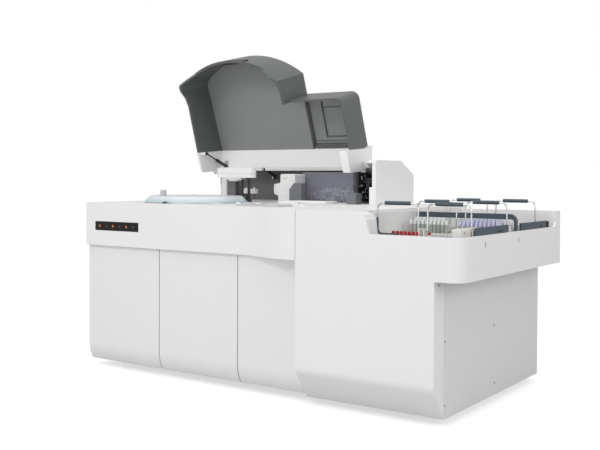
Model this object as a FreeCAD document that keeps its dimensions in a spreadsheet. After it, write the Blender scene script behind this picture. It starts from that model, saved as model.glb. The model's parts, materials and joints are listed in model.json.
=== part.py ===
import FreeCAD, Part
import Sketcher
import math
import os
import re

doc = FreeCAD.newDocument("analyzer")
sheet = doc.addObject("Spreadsheet::Sheet", "Sizes")
V = FreeCAD.Vector

# Driving dimensions in millimetres (angles in degrees): x from the left face, y from the front
# plane towards the rear, heights from the floor.
SIZES = [
    # overall
    ("unit_wide", 1403), ("module_wide", 670), ("tray_overhang", 120), ("deep", 1163),
    ("worktop_high", 870), ("worktop_thick", 24), ("panel_gap", 3), ("skin", 6), ("face_gap", 0.3),
    ("bay_clear", 35), ("rear_set", 463), ("hinge_set", 180), ("row_gap", 240),
    ("foot_radius", 28), ("foot_high", 60), ("stem_radius", 9), ("frame_floor", 60), ("tube", 40),
    # front band of the main unit
    ("band_high", 225), ("band_step", 68), ("band_wall", 20),
    ("band_return", 6), ("strip_left", 70), ("strip_low", 725), ("strip_wide", 314), ("strip_high", 47),
    ("strip_deep", 6), ("strip_proud", 1), ("lamp_radius", 7), ("lamp_pitch", 97), ("lamp_first", 35),
    # doors
    ("door_front", 87), ("door_thick", 18), ("door_foot", 37), ("door_curl", 90), ("door_tuck", 27),
    ("seam_one", 512), ("seam_gap", 2.5), ("pivot_inset", 12), ("hinge_low", 180),
    ("hinge_up", 560), ("hinge_leaf", 6), ("hinge_play", 0.5), ("door_pin", 2.5), ("pin_play", 0.05),
    ("leaf_half", 5), ("door_pin_long", 46),
    # rear bay: post, back panel, beam, tower
    ("bay_high", 1062), ("bay_left", 171), ("post_left", 63), ("post_wide", 46), ("post_deep", 50),
    ("back_thick", 8), ("cover_thick", 10), ("beam_low", 1052), ("beam_top", 1082), ("beam_deep", 58),
    ("beam_left", 200),
    ("tower_top", 1095), ("tower_low", 1022), ("tower_wall", 21), ("pillar_wide", 43),
    ("pillar_high", 88), ("pillar_deep", 30),
    # hood: measured from its hinge, closed, with the left outer face at nought
    ("hood_left", 136), ("hinge_high", 1040), ("hood_open", 70.4),
    ("bell_wide", 673), ("hood_wall", 12),
    ("hood_top", 123), ("hood_skirt", 150), ("bell_side", 535), ("bell_tip", 659),
    ("bell_lip", 36), ("bell_flare", 20), ("bell_corner", 60), ("bell_turn", 27), ("bell_cut", 21),
    ("bell_reach", 18), ("bay_front", 418), ("bay_corner", 42),
    ("flare_start", 440), ("liner_low", 75), ("liner_chamfer", 145), ("liner_step", 401),
    ("seam_lean", 0.267), ("seam_back", 107), ("rear_reach", 7), ("rear_drop", 71),
    ("ear_radius", 20), ("hinge_pin", 8), ("pin_long", 32),
    ("edge_rear", 144), ("edge_mid", 121), ("edge_front", 100), ("edge_bay", 75), ("edge_break", 491),
    ("window_wide", 144), ("window_back", 172), ("window_long", 223),
    ("window_thick", 8), ("grip_wide", 136), ("grip_left", 306),
    # gas struts of the hood
    ("strut_x", 184), ("strut_foot_z", 1025), ("strut_eye_y", 148),
    ("strut_eye_z", 110), ("tube_radius", 9), ("tube_long", 225), ("rod_radius", 4), ("eye_radius", 9),
    ("eye_thick", 9), ("eye_gap", 0.7), ("rod_long", 185), ("bore_start", 100),
    ("rear_strut_x", 465), ("rear_foot_z", 1010), ("rear_eye_y", 2), ("rear_eye_z", 49),
    ("rear_tube_long", 88), ("rear_rod_long", 88), ("rear_bore_start", 14), ("strut_pin", 4),
    # reagent carousel
    ("disk_x", 452), ("disk_y", 433), ("disk_radius", 276), ("well_radius", 262), ("well_deep", 80),
    ("well_wall", 4), ("ring_high", 4), ("carousel_radius", 248),
    ("carousel_thick", 6), ("hub_radius", 44), ("spindle_radius", 12), ("pack_count", 20),
    ("pack_inner", 120), ("pack_long", 120), ("pack_wide", 30), ("pack_high", 84),
    ("pack_floor", 56), ("cover_high", 36), ("cover_lean", 30), ("cover_wall", 3), ("knob_x", 413),
    ("knob_y", 220),
    ("knob_radius", 15), ("knob_high", 32),
    # pipetting arms
    ("arm_x", 600), ("arm_y", 700), ("arm_low", 1003), ("arm_high", 52), ("arm_long", 212),
    ("arm_end", 42), ("arm_half", 28), ("arm_nose", 18), ("post_radius", 8), ("post_foot", 820),
    ("guide_radius", 16), ("guide_high", 14), ("still_rod_x", 553), ("probe_radius", 1.6),
    ("probe_drop", 112), ("probe_first", 156), ("probe_pitch", 42), ("wash_x", 428),
    ("wash_low", 912), ("wash_high", 27), ("wash_long", 74), ("wash_end", 26), ("wash_half", 17),
    ("wash_post", 7), ("needle_reach", 55),
    # measuring unit, hopper, gripper bay, plates
    ("unit_x", 668), ("unit_deep", 100), ("block_x", 803),
    ("block_deep", 38), ("block_high", 105),
    ("hopper_x", 786), ("hopper_deep", 150),
    ("hopper_high", 165), ("hopper_wall", 3), ("hopper_fill", 96),
    ("gantry_wide", 150), ("gantry_high", 164), ("gantry_plate", 12),
    ("reader_wide", 54), ("reader_deep", 60), ("reader_high", 57),
    ("plate_wide", 120), ("plate_deep", 260), ("plate_high", 5),
    ("shelf_x", 985), ("shelf_y", 100), ("shelf_wide", 250), ("shelf_deep", 120), ("shelf_high", 9),
    # sample module and its tray
    ("module_foot", 30), ("toe_high", 132), ("toe_deep", 94), ("toe_round", 60), ("return_deep", 94),
    ("front_skin", 12), ("module_top", 865),
    ("tray_high", 774), ("tray_low", 596), ("tray_corner", 70), ("corner_seam", 214),
    ("rear_wall_top", 848), ("rear_round", 34),
    ("basin_floor", 694), ("basin_wall", 8), ("web_deep", 90),
    # rack carriers, their bails and racks
    ("carrier_wide", 224), ("row_start", 26), ("row_space", 77), ("row_room", 50), ("row_spare", 263),
    ("carrier_high", 68), ("carrier_wall", 5),
    ("rack_shift", 10), ("ear_half", 16), ("ear_rise", 92), ("bail_half", 98), ("bail_rise", 116),
    ("bail_wire", 3), ("bail_round", 24), ("bail_pin", 2.2), ("grip_half", 62), ("grip_radius", 7.5),
    ("rack_long", 190), ("rack_thick", 24), ("rack_high", 58), ("rack_pitch", 52), ("cap_pitch", 19.5),
    ("cap_radius", 8.2), ("cap_high", 15), ("stopper_low", 63), ("arch_behind", 53), ("arch_thick", 24),
    ("arch_deep", 22), ("arch_top", 848), ("arch_round", 34), ("bar_high", 32),
    ("guide_tall", 72), ("guide_long", 96), ("guide_round", 26), ("guide_thick", 7),
]
# Sizes that follow from the driving ones.
DERIVED = {
    "band_turn": "(unit_wide - 363)",
    "band_end": "(unit_wide - 50)",
    "seam_two": "(unit_wide - 389)",
    "hood_wide": "(unit_wide - 397)",
    "block_wide": "(hood_wide + 31)",
    "window_left": "(hood_wide - 237)",
    "hinge_back": "(deep - hinge_set)",
    "strut_foot_y": "(deep - bay_clear)",
    "tower_left": "(unit_wide - 211)",
    "tower_front": "(deep - rear_set)",
    "tower_break": "(deep - 199)",
    "tower_back": "(deep - 57)",
    "gantry_x": "(unit_wide - 203)",
    "gantry_y": "(deep - rear_set + 150)",
    "reader_x": "(unit_wide - 170)",
    "reader_y": "(deep - rear_set)",
    "plate_y": "(deep - rear_set - 230)",
    "unit_y": "(deep - rear_set + 140)",
    "block_y": "(deep - rear_set + 98)",
    "hopper_y": "(deep - rear_set + 250)",
    "hopper_wide": "(unit_wide - 1067)",
    "wash_y": "(deep - rear_set + 200)",
    "basin_left": "(module_wide - 393)",
    "slope_start": "(basin_left + 32)",
    "slope_end": "(basin_left + 93)",
    "second_column": "(module_wide - 20)",
    "first_column": "(second_column - row_gap)",
    "rear_wall_y": "(deep - 86)",
    "carrier_deep": "((deep - row_spare) / 3)",
    "first_row": "(row_start + carrier_deep / 2)",
    "second_row": "(row_start + 3 * carrier_deep / 2 + row_space)",
    "third_row": "(row_start + 5 * carrier_deep / 2 + row_space + row_room)",
    "arch_y": "(second_row + arch_behind)",
    "left_x": "(-(unit_wide + module_wide + tray_overhang) / 2)",
    "front_y": "(-deep / 2)",
    "back_y": "(deep / 2)",
    "module_x": "(left_x + unit_wide)",
    "cabinet_x": "(left_x + unit_wide + module_wide)",
    "right_x": "(left_x + unit_wide + module_wide + tray_overhang)",
    "band_low": "(worktop_high - band_high)",
    "worktop_low": "(worktop_high - worktop_thick)",
    "turn_half": "((band_end - band_turn) / 2)",
    "turn_radius": "(((band_end - band_turn) ^ 2 + band_step ^ 2) / (4 * band_step))",
    "door_top": "(band_low - panel_gap)",
    "curl_radius": "((door_curl ^ 2 + door_tuck ^ 2) / (2 * door_tuck))",
    "door_back": "(door_front + door_thick)",
    "post_y": "(door_back + 25)",
    "hinge_y": "(front_y + hinge_back)",
    "hood_x": "(left_x + hood_left)",
    "bell_curve": "(((bell_wide / 2) ^ 2 + (bell_tip - bell_side) ^ 2) / (2 * (bell_tip - bell_side)))",
    "lean_rise": "(strut_eye_y * sin(hood_open) - strut_eye_z * cos(hood_open))",
    "eye_y": "(hinge_back - strut_eye_y * cos(hood_open) - strut_eye_z * sin(hood_open))",
    "eye_z": "(hinge_high + lean_rise)",
    "rear_eye_out": "(hinge_back + rear_eye_y * cos(hood_open) + rear_eye_z * sin(hood_open))",
    "rear_eye_up": "(hinge_high - rear_eye_y * sin(hood_open) + rear_eye_z * cos(hood_open))",
    "basin_x": "(module_x + basin_left)",
    "tray_wall_x": "(right_x - front_skin)",
    "deck": "worktop_high",
}

for row, (alias, value) in enumerate(SIZES, 1):
    sheet.set("A%d" % row, alias)
    sheet.set("B%d" % row, str(value))
    sheet.setAlias("B%d" % row, alias)
doc.recompute()
ALIASES = {alias for alias, value in SIZES}
WORD = re.compile(r"[a-z][a-z_]+")


def bound(text):
    """An expression of named sizes, written out for FreeCAD's expression engine."""
    text = str(text)
    while any(word in DERIVED for word in WORD.findall(text)):
        text = WORD.sub(lambda m: DERIVED.get(m.group(0), m.group(0)), text)
    return WORD.sub(lambda m: "Sizes." + m.group(0) if m.group(0) in ALIASES else m.group(0), text)


def num(text):
    return float(sheet.evalExpression(bound(text)))


def bind(item, **props):
    for prop, text in props.items():
        item.setExpression(prop, bound(text))


def seat(item, spot):
    for axis, text in zip("xyz", spot):
        item.setExpression("Placement.Base." + axis, bound(text))
    return item


# Primitives and booleans
def box(name, spot, size):
    item = doc.addObject("Part::Box", name)
    bind(item, Length=size[0], Width=size[1], Height=size[2])
    return seat(item, spot)


def rod(name, spot, radius, length, axis="z"):
    item = doc.addObject("Part::Cylinder", name)
    bind(item, Radius=radius, Height=length)
    turn = {"x": FreeCAD.Rotation(V(0, 1, 0), 90), "y": FreeCAD.Rotation(V(1, 0, 0), -90)}
    if axis in turn:
        item.Placement = FreeCAD.Placement(V(0, 0, 0), turn[axis])
    return seat(item, spot)


def fuse(name, parts):
    item = doc.addObject("Part::MultiFuse", name)
    item.Shapes = parts
    return item


def cut(name, base, tools):
    item = doc.addObject("Part::Cut", name)
    item.Base = base
    item.Tool = tools[0] if len(tools) == 1 else fuse(name + "_tools", tools)
    return item


def common(name, first, second):
    item = doc.addObject("Part::Common", name)
    item.Base = first
    item.Tool = second
    return item


def group(name, solids):
    """Several separate solids of one kind, kept apart in one piece."""
    item = doc.addObject("Part::Compound", name)
    item.Links = solids
    return item


# Sketched pieces. A corner is (x, y), (x, y, rounding) or (x, y, 0, radius, side): the last
# makes the edge that leaves it an arc of that radius, bulging to its right (1) or left (-1).
def sketch_outline(body, name, plane, corners, lift=None):
    sketch = body.newObject("Sketcher::SketchObject", name)
    origin = [f for f in body.Origin.OriginFeatures if f.Role == plane + "_Plane"][0]
    sketch.AttachmentSupport = [(origin, "")]
    sketch.MapMode = "FlatFace"
    if lift is not None:
        sketch.setExpression("AttachmentOffset.Base.z", bound(lift))
    spots = [V(num(c[0]), num(c[1]), 0) for c in corners]
    count = len(corners)
    for k, corner in enumerate(corners):
        start, end = spots[k], spots[(k + 1) % count]
        if len(corner) < 5:
            sketch.addGeometry(Part.LineSegment(start, end), False)
            continue
        radius = num(corner[3])
        along = (end - start).normalize()
        half = start.distanceToPoint(end) / 2
        sag = radius - math.sqrt(radius ** 2 - half ** 2)
        top = (start + end) * 0.5 + V(along.y, -along.x, 0) * sag * corner[4]
        sketch.addGeometry(Part.Arc(start, top, end), False)
    for k, corner in enumerate(corners):
        reverse = is_reversed(sketch, k, spots[k])
        after = (k + 1) % count
        first = 1 if not is_reversed(sketch, after, spots[after]) else 2
        sketch.addConstraint(Sketcher.Constraint("Coincident", k, 1 if reverse else 2, after, first))
    for k, corner in enumerate(corners):
        point = 2 if is_reversed(sketch, k, spots[k]) else 1
        for kind, text, value in (("DistanceX", corner[0], spots[k].x),
                                  ("DistanceY", corner[1], spots[k].y)):
            place = sketch.addConstraint(Sketcher.Constraint(kind, -1, 1, k, point, value))
            sketch.setExpression("Constraints[%d]" % place, bound(text))
        if len(corner) == 5:
            place = sketch.addConstraint(Sketcher.Constraint("Radius", k, num(corner[3])))
            sketch.setExpression("Constraints[%d]" % place, bound(corner[3]))
    return sketch


def is_reversed(sketch, k, start):
    """A sketched arc always runs counter-clockwise, so its first point may be the outline's end."""
    return sketch.getPoint(k, 1).distanceToPoint(start) > 1e-6


def round_corners(body, name, plane, corners):
    """Fillets the edges that rise from the corners given a rounding."""
    flat = {"XY": lambda p: (p.x, p.y), "XZ": lambda p: (p.x, p.z), "YZ": lambda p: (p.y, p.z)}[plane]
    sizes = sorted({c[2] for c in corners if len(c) > 2 and c[2]})
    for size in sizes:
        doc.recompute()
        base = body.Tip
        spots = [(num(c[0]), num(c[1])) for c in corners if len(c) > 2 and c[2] == size]
        picked = []
        for k, edge in enumerate(base.Shape.Edges, 1):
            ends = [flat(v.Point) for v in edge.Vertexes]
            if any(all(math.dist(end, spot) < 1e-4 for end in ends) for spot in spots):
                picked.append("Edge%d" % k)
        fillet = body.newObject("PartDesign::Fillet", name + "_round_" + str(size).replace(".", "_"))
        fillet.Base = (base, picked)
        bind(fillet, Radius=size)


def prism(name, plane, corners, depth, spot=(0, 0, 0)):
    body = doc.addObject("PartDesign::Body", name)
    sketch = sketch_outline(body, name + "_outline", plane, corners)
    pad = body.newObject("PartDesign::Pad", name + "_pad")
    pad.Profile = sketch
    bind(pad, Length=depth)
    pad.Reversed = plane == "XZ"
    round_corners(body, name, plane, corners)
    return seat(body, spot)


def turned(name, corners, spot):
    """A round piece: the half section (radius, height) spun about the upright axis."""
    body = doc.addObject("PartDesign::Body", name)
    sketch = sketch_outline(body, name + "_section", "XZ", corners)
    spin = body.newObject("PartDesign::Revolution", name + "_spin")
    spin.Profile = sketch
    spin.ReferenceAxis = (sketch, ["V_Axis"])
    spin.Angle = 360
    return seat(body, spot)


def lofted(name, lower, lower_z, upper, upper_z, spot=(0, 0, 0)):
    body = doc.addObject("PartDesign::Body", name)
    first = sketch_outline(body, name + "_foot", "XY", lower, lower_z)
    second = sketch_outline(body, name + "_head", "XY", upper, upper_z)
    loft = body.newObject("PartDesign::AdditiveLoft", name + "_loft")
    loft.Profile = first
    loft.Sections = [second]
    loft.Ruled = True
    return seat(body, spot)


nodes = {}


def keep(name, item):
    item.Label = name
    nodes[name] = item
    return item


# The front line of the main unit in plan: flat, then swept forward in two arcs.
def band_line(inset):
    shift_x = "(turn_half + %s * turn_half / turn_radius)" % inset
    shift_y = "(band_step / 2 + %s * (turn_radius - band_step / 2) / turn_radius)" % inset
    return [
        ("left_x + band_turn", "front_y + band_step + %s" % inset, 0, "turn_radius + %s" % inset, -1),
        ("left_x + band_turn + " + shift_x, "front_y + " + shift_y, 0, "turn_radius - %s" % inset, 1),
        ("left_x + band_end", "front_y + %s" % inset),
    ]


# Main unit: welded frame and its feet
def main_frame():
    bars = [box("frame_pan", ("left_x + skin + 9", "front_y + post_y", "frame_floor"),
                ("unit_wide - 2 * (skin + 9)", "deep - post_y - skin", "8"))]
    columns = ["left_x + skin + 9", "left_x + seam_one + seam_gap + pivot_inset - tube / 2",
               "left_x + seam_two + seam_gap + pivot_inset - tube / 2", "module_x - skin - 9 - tube"]
    rise = "worktop_low - frame_floor"
    for k, x in enumerate(columns):
        bars.append(box("front_column_%d" % k, (x, "front_y + post_y", "frame_floor"),
                        ("tube", "tube", rise)))
        bars.append(box("rear_column_%d" % k, (x, "back_y - skin - tube", "frame_floor"),
                        ("tube", "tube", rise)))
    for k, y in enumerate(("front_y + post_y", "back_y - skin - tube")):
        bars.append(box("long_rail_%d" % k, ("left_x + skin + 9", y, "worktop_low - tube"),
                        ("unit_wide - 2 * (skin + 9)", "tube", "tube")))
    for k, x in enumerate((columns[0], columns[3])):
        bars.append(box("cross_rail_%d" % k, (x, "front_y + post_y", "worktop_low - tube"),
                        ("tube", "deep - post_y - skin", "tube")))
    return fuse("main_frame", bars)


def feet(name, places, top):
    """Levelling feet: a round pad with its threaded stem."""
    pieces = []
    for k, (x, y) in enumerate(places):
        pad = rod("%s_pad_%d" % (name, k), (x, y, "0"), "foot_radius", "foot_high / 4")
        stem = rod("%s_stem_%d" % (name, k), (x, y, "foot_high / 4"), "stem_radius",
                   "%s - foot_high / 4" % top)
        pieces.append(fuse("%s_%d" % (name, k), [pad, stem]))
    return pieces


# Front band with its bottom return, and the lamp strip let into it
def front_band():
    front = band_line("0")
    back = band_line("band_wall")
    wall = [("left_x", "front_y + band_step")] + front + [
        ("module_x", "front_y"), ("module_x", "front_y + band_wall")]
    wall += [(back[2][0], back[2][1], 0, back[1][3], -1), (back[1][0], back[1][1], 0, back[0][3], 1),
             (back[0][0], back[0][1]), ("left_x", "front_y + band_step + band_wall")]
    sheet_wall = prism("band_wall_sheet", "XY", wall, "band_high", ("0", "0", "band_low"))
    lower = [("left_x", "front_y + band_step")] + front + [
        ("module_x", "front_y"), ("module_x", "front_y + post_y - panel_gap"),
        ("left_x", "front_y + post_y - panel_gap")]
    floor = prism("band_return_sheet", "XY", lower, "band_return", ("0", "0", "band_low"))
    slot = box("strip_slot", ("left_x + strip_left", "front_y + band_step - 5", "strip_low"),
               ("strip_wide", "strip_deep + 5", "strip_high"))
    keep("front_band", cut("front_band", fuse("band_shell", [sheet_wall, floor]), [slot]))
    strip = box("lamp_strip", ("left_x + strip_left + face_gap", "front_y + band_step - strip_proud",
                               "strip_low + face_gap"),
                ("strip_wide - 2 * face_gap", "strip_deep + strip_proud", "strip_high - 2 * face_gap"))
    bright, seats = [], []
    for k in range(3):
        x = "left_x + strip_left + lamp_first + %d * lamp_pitch" % k
        y = "front_y + band_step - strip_proud - 0.8"
        z = "strip_low + strip_high / 2"
        bright.append(rod("run_lamp_%d" % k, (x, y, z), "lamp_radius", "3", "y"))
        seats.append(rod("lamp_seat_%d" % k, (x, y, z), "lamp_radius", "3", "y"))
    keep("lamp_strip", cut("lamp_strip_body", strip, seats))
    keep("run_lamps", group("run_lamps", bright))


# Worktop with the round opening for the carousel
def worktop():
    back = band_line("band_wall")
    outline = [("left_x", "front_y + band_step + band_wall")] + back + [
        ("module_x", "front_y + band_wall"), ("module_x", "back_y"), ("left_x", "back_y")]
    plate = prism("worktop_plate", "XY", outline, "worktop_thick", ("0", "0", "worktop_low"))
    hole = rod("well_hole", ("left_x + disk_x", "front_y + disk_y", "worktop_low - 5"),
               "well_radius", "worktop_thick + 10")
    arm_hole = rod("arm_hole", ("left_x + arm_x", "front_y + arm_y", "worktop_low - 5"), "guide_radius",
                   "worktop_thick + 10")
    wash_hole = rod("wash_hole", ("left_x + wash_x", "front_y + wash_y", "worktop_low - 5"), "guide_radius",
                    "worktop_thick + 10")
    keep("worktop", cut("worktop", plate, [hole, arm_hole, wash_hole]))


# Doors with a curled foot, each turning on two pins let into its edge
def door(name, left, right):
    section = [("door_back", "door_top"), ("door_front", "door_top"),
               ("door_front", "door_foot + door_curl", 0, "curl_radius", 1),
               ("door_front + door_tuck", "door_foot"),
               ("door_front + curl_radius - sqrt((curl_radius - door_thick) ^ 2 - door_curl ^ 2)",
                "door_foot", 0, "curl_radius - door_thick", -1),
               ("door_back", "door_foot + door_curl")]
    leaf = prism(name + "_leaf", "YZ", section, "%s - %s - 2 * seam_gap" % (right, left),
                 ("left_x + %s + seam_gap" % left, "front_y", "0"))
    x = "left_x + %s + seam_gap + pivot_inset" % left
    y = "front_y + door_front + door_thick / 2"
    tools, pins = [], []
    for k, level in enumerate(("hinge_low", "hinge_up")):
        tools.append(box("%s_notch_%d" % (name, k),
                         (x + " - pivot_inset - 1", y + " - leaf_half - hinge_play",
                          level + " - hinge_play"),
                         ("pivot_inset + leaf_half + 2", "door_thick", "hinge_leaf + 2 * hinge_play")))
        tools.append(rod("%s_bore_%d" % (name, k), (x, y,
                                                    level + " + hinge_leaf / 2 - door_pin_long / 2 - 1"),
                         "door_pin + pin_play", "door_pin_long + 2"))
        pin = rod("%s_pin_%d" % (name, k), (x, y, level + " + hinge_leaf / 2 - door_pin_long / 2"),
                  "door_pin", "door_pin_long")
        arm = box("%s_arm_%d" % (name, k), (x + " - leaf_half", y, level),
                  ("2 * leaf_half", "post_y - door_front - door_thick / 2", "hinge_leaf"))
        tip = rod("%s_tip_%d" % (name, k), (x, y, level), "leaf_half", "hinge_leaf")
        pins.append(fuse("%s_hinge_%d" % (name, k), [pin, arm, tip]))
    keep(name, cut(name, leaf, tools))
    return pins


def doors():
    hinges = door("door_left", "0", "seam_one")
    hinges += door("door_middle", "seam_one", "seam_two")
    hinges += door("door_right", "seam_two", "unit_wide")
    keep("door_hinges", group("door_hinges", hinges))


# Side and rear skins of the main unit, with louvres, power inlet and fluid ports behind
def main_skins():
    side = [("door_back + panel_gap", "frame_floor"), ("deep - skin", "frame_floor"),
            ("deep - skin", "worktop_low"), ("band_step + band_wall + panel_gap", "worktop_low"),
            ("band_step + band_wall + panel_gap", "band_low + band_return + panel_gap"),
            ("door_back + panel_gap", "band_low + band_return + panel_gap")]
    side[5] = ("post_y", "band_low + band_return + panel_gap")
    side[0] = ("post_y", "frame_floor", "panel_gap")
    side[4] = ("band_step + band_wall + panel_gap", "band_low + band_return + panel_gap")
    keep("left_side_panel", prism("left_side_panel", "YZ", side, "skin", ("left_x", "front_y", "0")))
    plate = box("rear_plate", ("left_x", "back_y - skin", "frame_floor"),
                ("unit_wide", "skin", "worktop_low - frame_floor"))
    slots = []
    for k in range(12):
        for side_no, x in enumerate(("left_x + 190", "left_x + 920")):
            slots.append(box("louvre_%d_%d" % (side_no, k), (x, "back_y - skin - 5", "500 + %d" % (16 * k)),
                             ("260", "skin + 10", "6")))
    keep("rear_panel", cut("rear_panel", plate, slots))


# What the cabinet holds: bottles for wash buffer and waste, pump plate and power supply
def inner_units():
    pan = "frame_floor + 8"
    tanks = []
    for name, x, wide in (("wash_tank", "90", "300"), ("waste_tank", "600", "300")):
        can = prism(name + "_can", "XY", [("0", "0", "24"), (wide, "0", "24"), (wide, "420", "24"),
                                          ("0", "420", "24")], "360",
                    ("left_x + " + x, "front_y + post_y + tube + 40", pan))
        neck = rod(name + "_neck", ("left_x + %s + %s / 2" % (x, wide), "front_y + post_y + tube + 130",
                                    pan + " + 360"), "34", "26")
        tanks.append(fuse(name, [can, neck]))
    keep("fluid_tanks", group("fluid_tanks", tanks))
    supply = box("power_supply", ("left_x + unit_wide - 323", "front_y + 260", pan), ("230", "300", "180"))
    board = box("pump_board", ("left_x + 150", "back_y - skin - tube - 18", "frame_floor + 8"),
                ("1000", "18", "640"))
    heads = [rod("pump_%d" % k, ("left_x + %d" % (300 + 170 * k), "back_y - skin - tube - 18 - 70", "480"),
                 "38", "70", "y") for k in range(3)]
    keep("pumps_and_supply", group("pumps_and_supply", [fuse("pump_board_set", [board] + heads), supply]))


# Rear bay: white post, dark back panel, white cover behind it, hinge beam and brackets
def rear_bay():
    deck = "worktop_high"
    rise = "bay_high - worktop_high"
    inner = "back_y - cover_thick - back_thick"
    cover = box("rear_cover", ("left_x + post_left", "back_y - cover_thick", deck),
                ("tower_left - post_left", "cover_thick", rise))
    keep("bay_back_panel", box("bay_back_panel", ("left_x + bay_left", inner, deck),
                               ("tower_left - bay_left", "back_thick", rise)))
    post = prism("post_solid", "XY", [
        ("0", "0", "8"), ("post_wide", "0"), ("post_wide", "post_deep"), ("0", "post_deep")], rise,
        ("left_x + post_left", "back_y - cover_thick - post_deep", deck))
    keep("rear_cover", fuse("rear_cover_set", [cover, post]))
    column = prism("service_column", "XY", [
        ("0", "0", "10"), ("bay_left - post_left - post_wide", "0", "10"),
        ("bay_left - post_left - post_wide", "post_deep - 10"), ("0", "post_deep - 10")], rise,
        ("left_x + post_left + post_wide", "back_y - cover_thick - post_deep + 10", deck))
    keep("service_column", column)
    beam = prism("beam_profile", "YZ", [
        ("0", "beam_low"), ("beam_deep", "beam_low"), ("beam_deep", "bay_high"),
        ("beam_deep + back_thick + cover_thick", "bay_high"),
        ("beam_deep + back_thick + cover_thick", "beam_top - 12"), ("beam_deep - 6", "beam_top", "6"),
        ("0", "beam_top", "6")], "tower_left - beam_left",
        ("left_x + beam_left", "back_y - cover_thick - back_thick - beam_deep", "0"))
    keep("hinge_beam", beam)


def hinge_bracket(name, x, back, rise):
    plate = prism(name + "_plate", "YZ", [
        ("hinge_back - 18", "hinge_high - 16", "14"), (back, "hinge_high - 26"),
        (back, "hinge_high + " + rise), ("hinge_back - 18", "hinge_high + 16", "14")], "12",
        (x, "front_y", "0"))
    bore = rod(name + "_bore", (x + " - 1", "hinge_y", "hinge_high"), "hinge_pin", "14", "x")
    return cut(name, plate, [bore])


def hood_hinges():
    left_x, right_x = "hood_x - 13", "hood_x + block_wide + 1"
    left = hinge_bracket("left_bracket", left_x, "deep - cover_thick - post_deep + 10", "16")
    right = hinge_bracket("right_bracket", right_x, "deep - cover_thick - back_thick - beam_deep", "36")
    foot = box("strut_bracket", ("left_x + rear_strut_x - 18", "front_y + strut_foot_y - 8",
                                 "rear_foot_z - 14"),
               ("8", "deep - cover_thick - back_thick - strut_foot_y + 8", "26"))
    keep("hinge_brackets", group("hinge_brackets", [left, right, foot]))
    pins = [rod("left_hinge_pin", (left_x, "hinge_y", "hinge_high"), "hinge_pin", "pin_long", "x"),
            rod("right_hinge_pin", (right_x + " + 12 - pin_long", "hinge_y", "hinge_high"), "hinge_pin",
                "pin_long", "x"),
            rod("front_strut_pin", ("left_x + bay_left", "front_y + strut_foot_y", "strut_foot_z"),
                "strut_pin", "strut_x + eye_thick - bay_left", "x"),
            rod("rear_strut_pin", ("left_x + rear_strut_x - 10", "front_y + strut_foot_y", "rear_foot_z"),
                "strut_pin", "10 + eye_thick", "x")]
    keep("hinge_pins", group("hinge_pins", pins))


# Hood: drawn closed about its hinge, then set open at its rest angle
def open_pose(item):
    seat(item, ("hood_x", "hinge_y", "hinge_high"))
    item.Placement = FreeCAD.Placement(item.Placement.Base, FreeCAD.Rotation(V(1, 0, 0), -1))
    item.setExpression("Placement.Rotation.Angle", bound("-hood_open"))
    for axis, text in zip("xyz", ("hood_x", "hinge_y", "hinge_high")):
        item.setExpression("Placement.Base." + axis, bound(text))
    return item


def bell(inset, flare):
    """The big rounded dome in plan; flare is how far its front corner has spread at this height."""
    side = "bell_side - %s * 0.6 + %s" % (inset, flare)
    curve = "bell_curve - %s + %s" % (inset, flare)
    right = "bell_wide - %s + %s / 4" % (inset, flare)
    edge = "%s - %s" % (inset, flare)
    return [(inset, "-30"), (inset, "-flare_start"), (edge, "-(%s - bell_turn)" % side, 0, "bell_corner", 1),
            (edge + " + bell_cut", "-(%s + bell_reach)" % side, 0, curve, 1), (right, "-(%s)" % side),
            (right, "-30")]


def bay(inset, flare):
    front = "-(bay_front - %s + %s)" % (inset, flare)
    side = "hood_wide - %s + %s" % (inset, flare)
    corner = "bay_corner - %s" % inset
    return [("bell_wide - 200", "-30"), ("bell_wide - 200", front),
            ("%s - (%s)" % (side, corner), front, 0, corner, 1),
            (side, "%s + %s" % (front, corner)), (side, "-30")]


def dome(name, inset, head):
    """One solid of the hood's shape, drawn in by the inset, from below its skirt up to its head."""
    parts = []
    for kind, outline, spread in (("bell", bell, "bell_flare * 1.2"), ("bay", bay, "bell_flare")):
        parts.append(lofted(name + "_" + kind, outline(inset, spread), "-hood_skirt - 1",
                            outline(inset, "0"), head))
    return fuse(name, parts)


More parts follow.
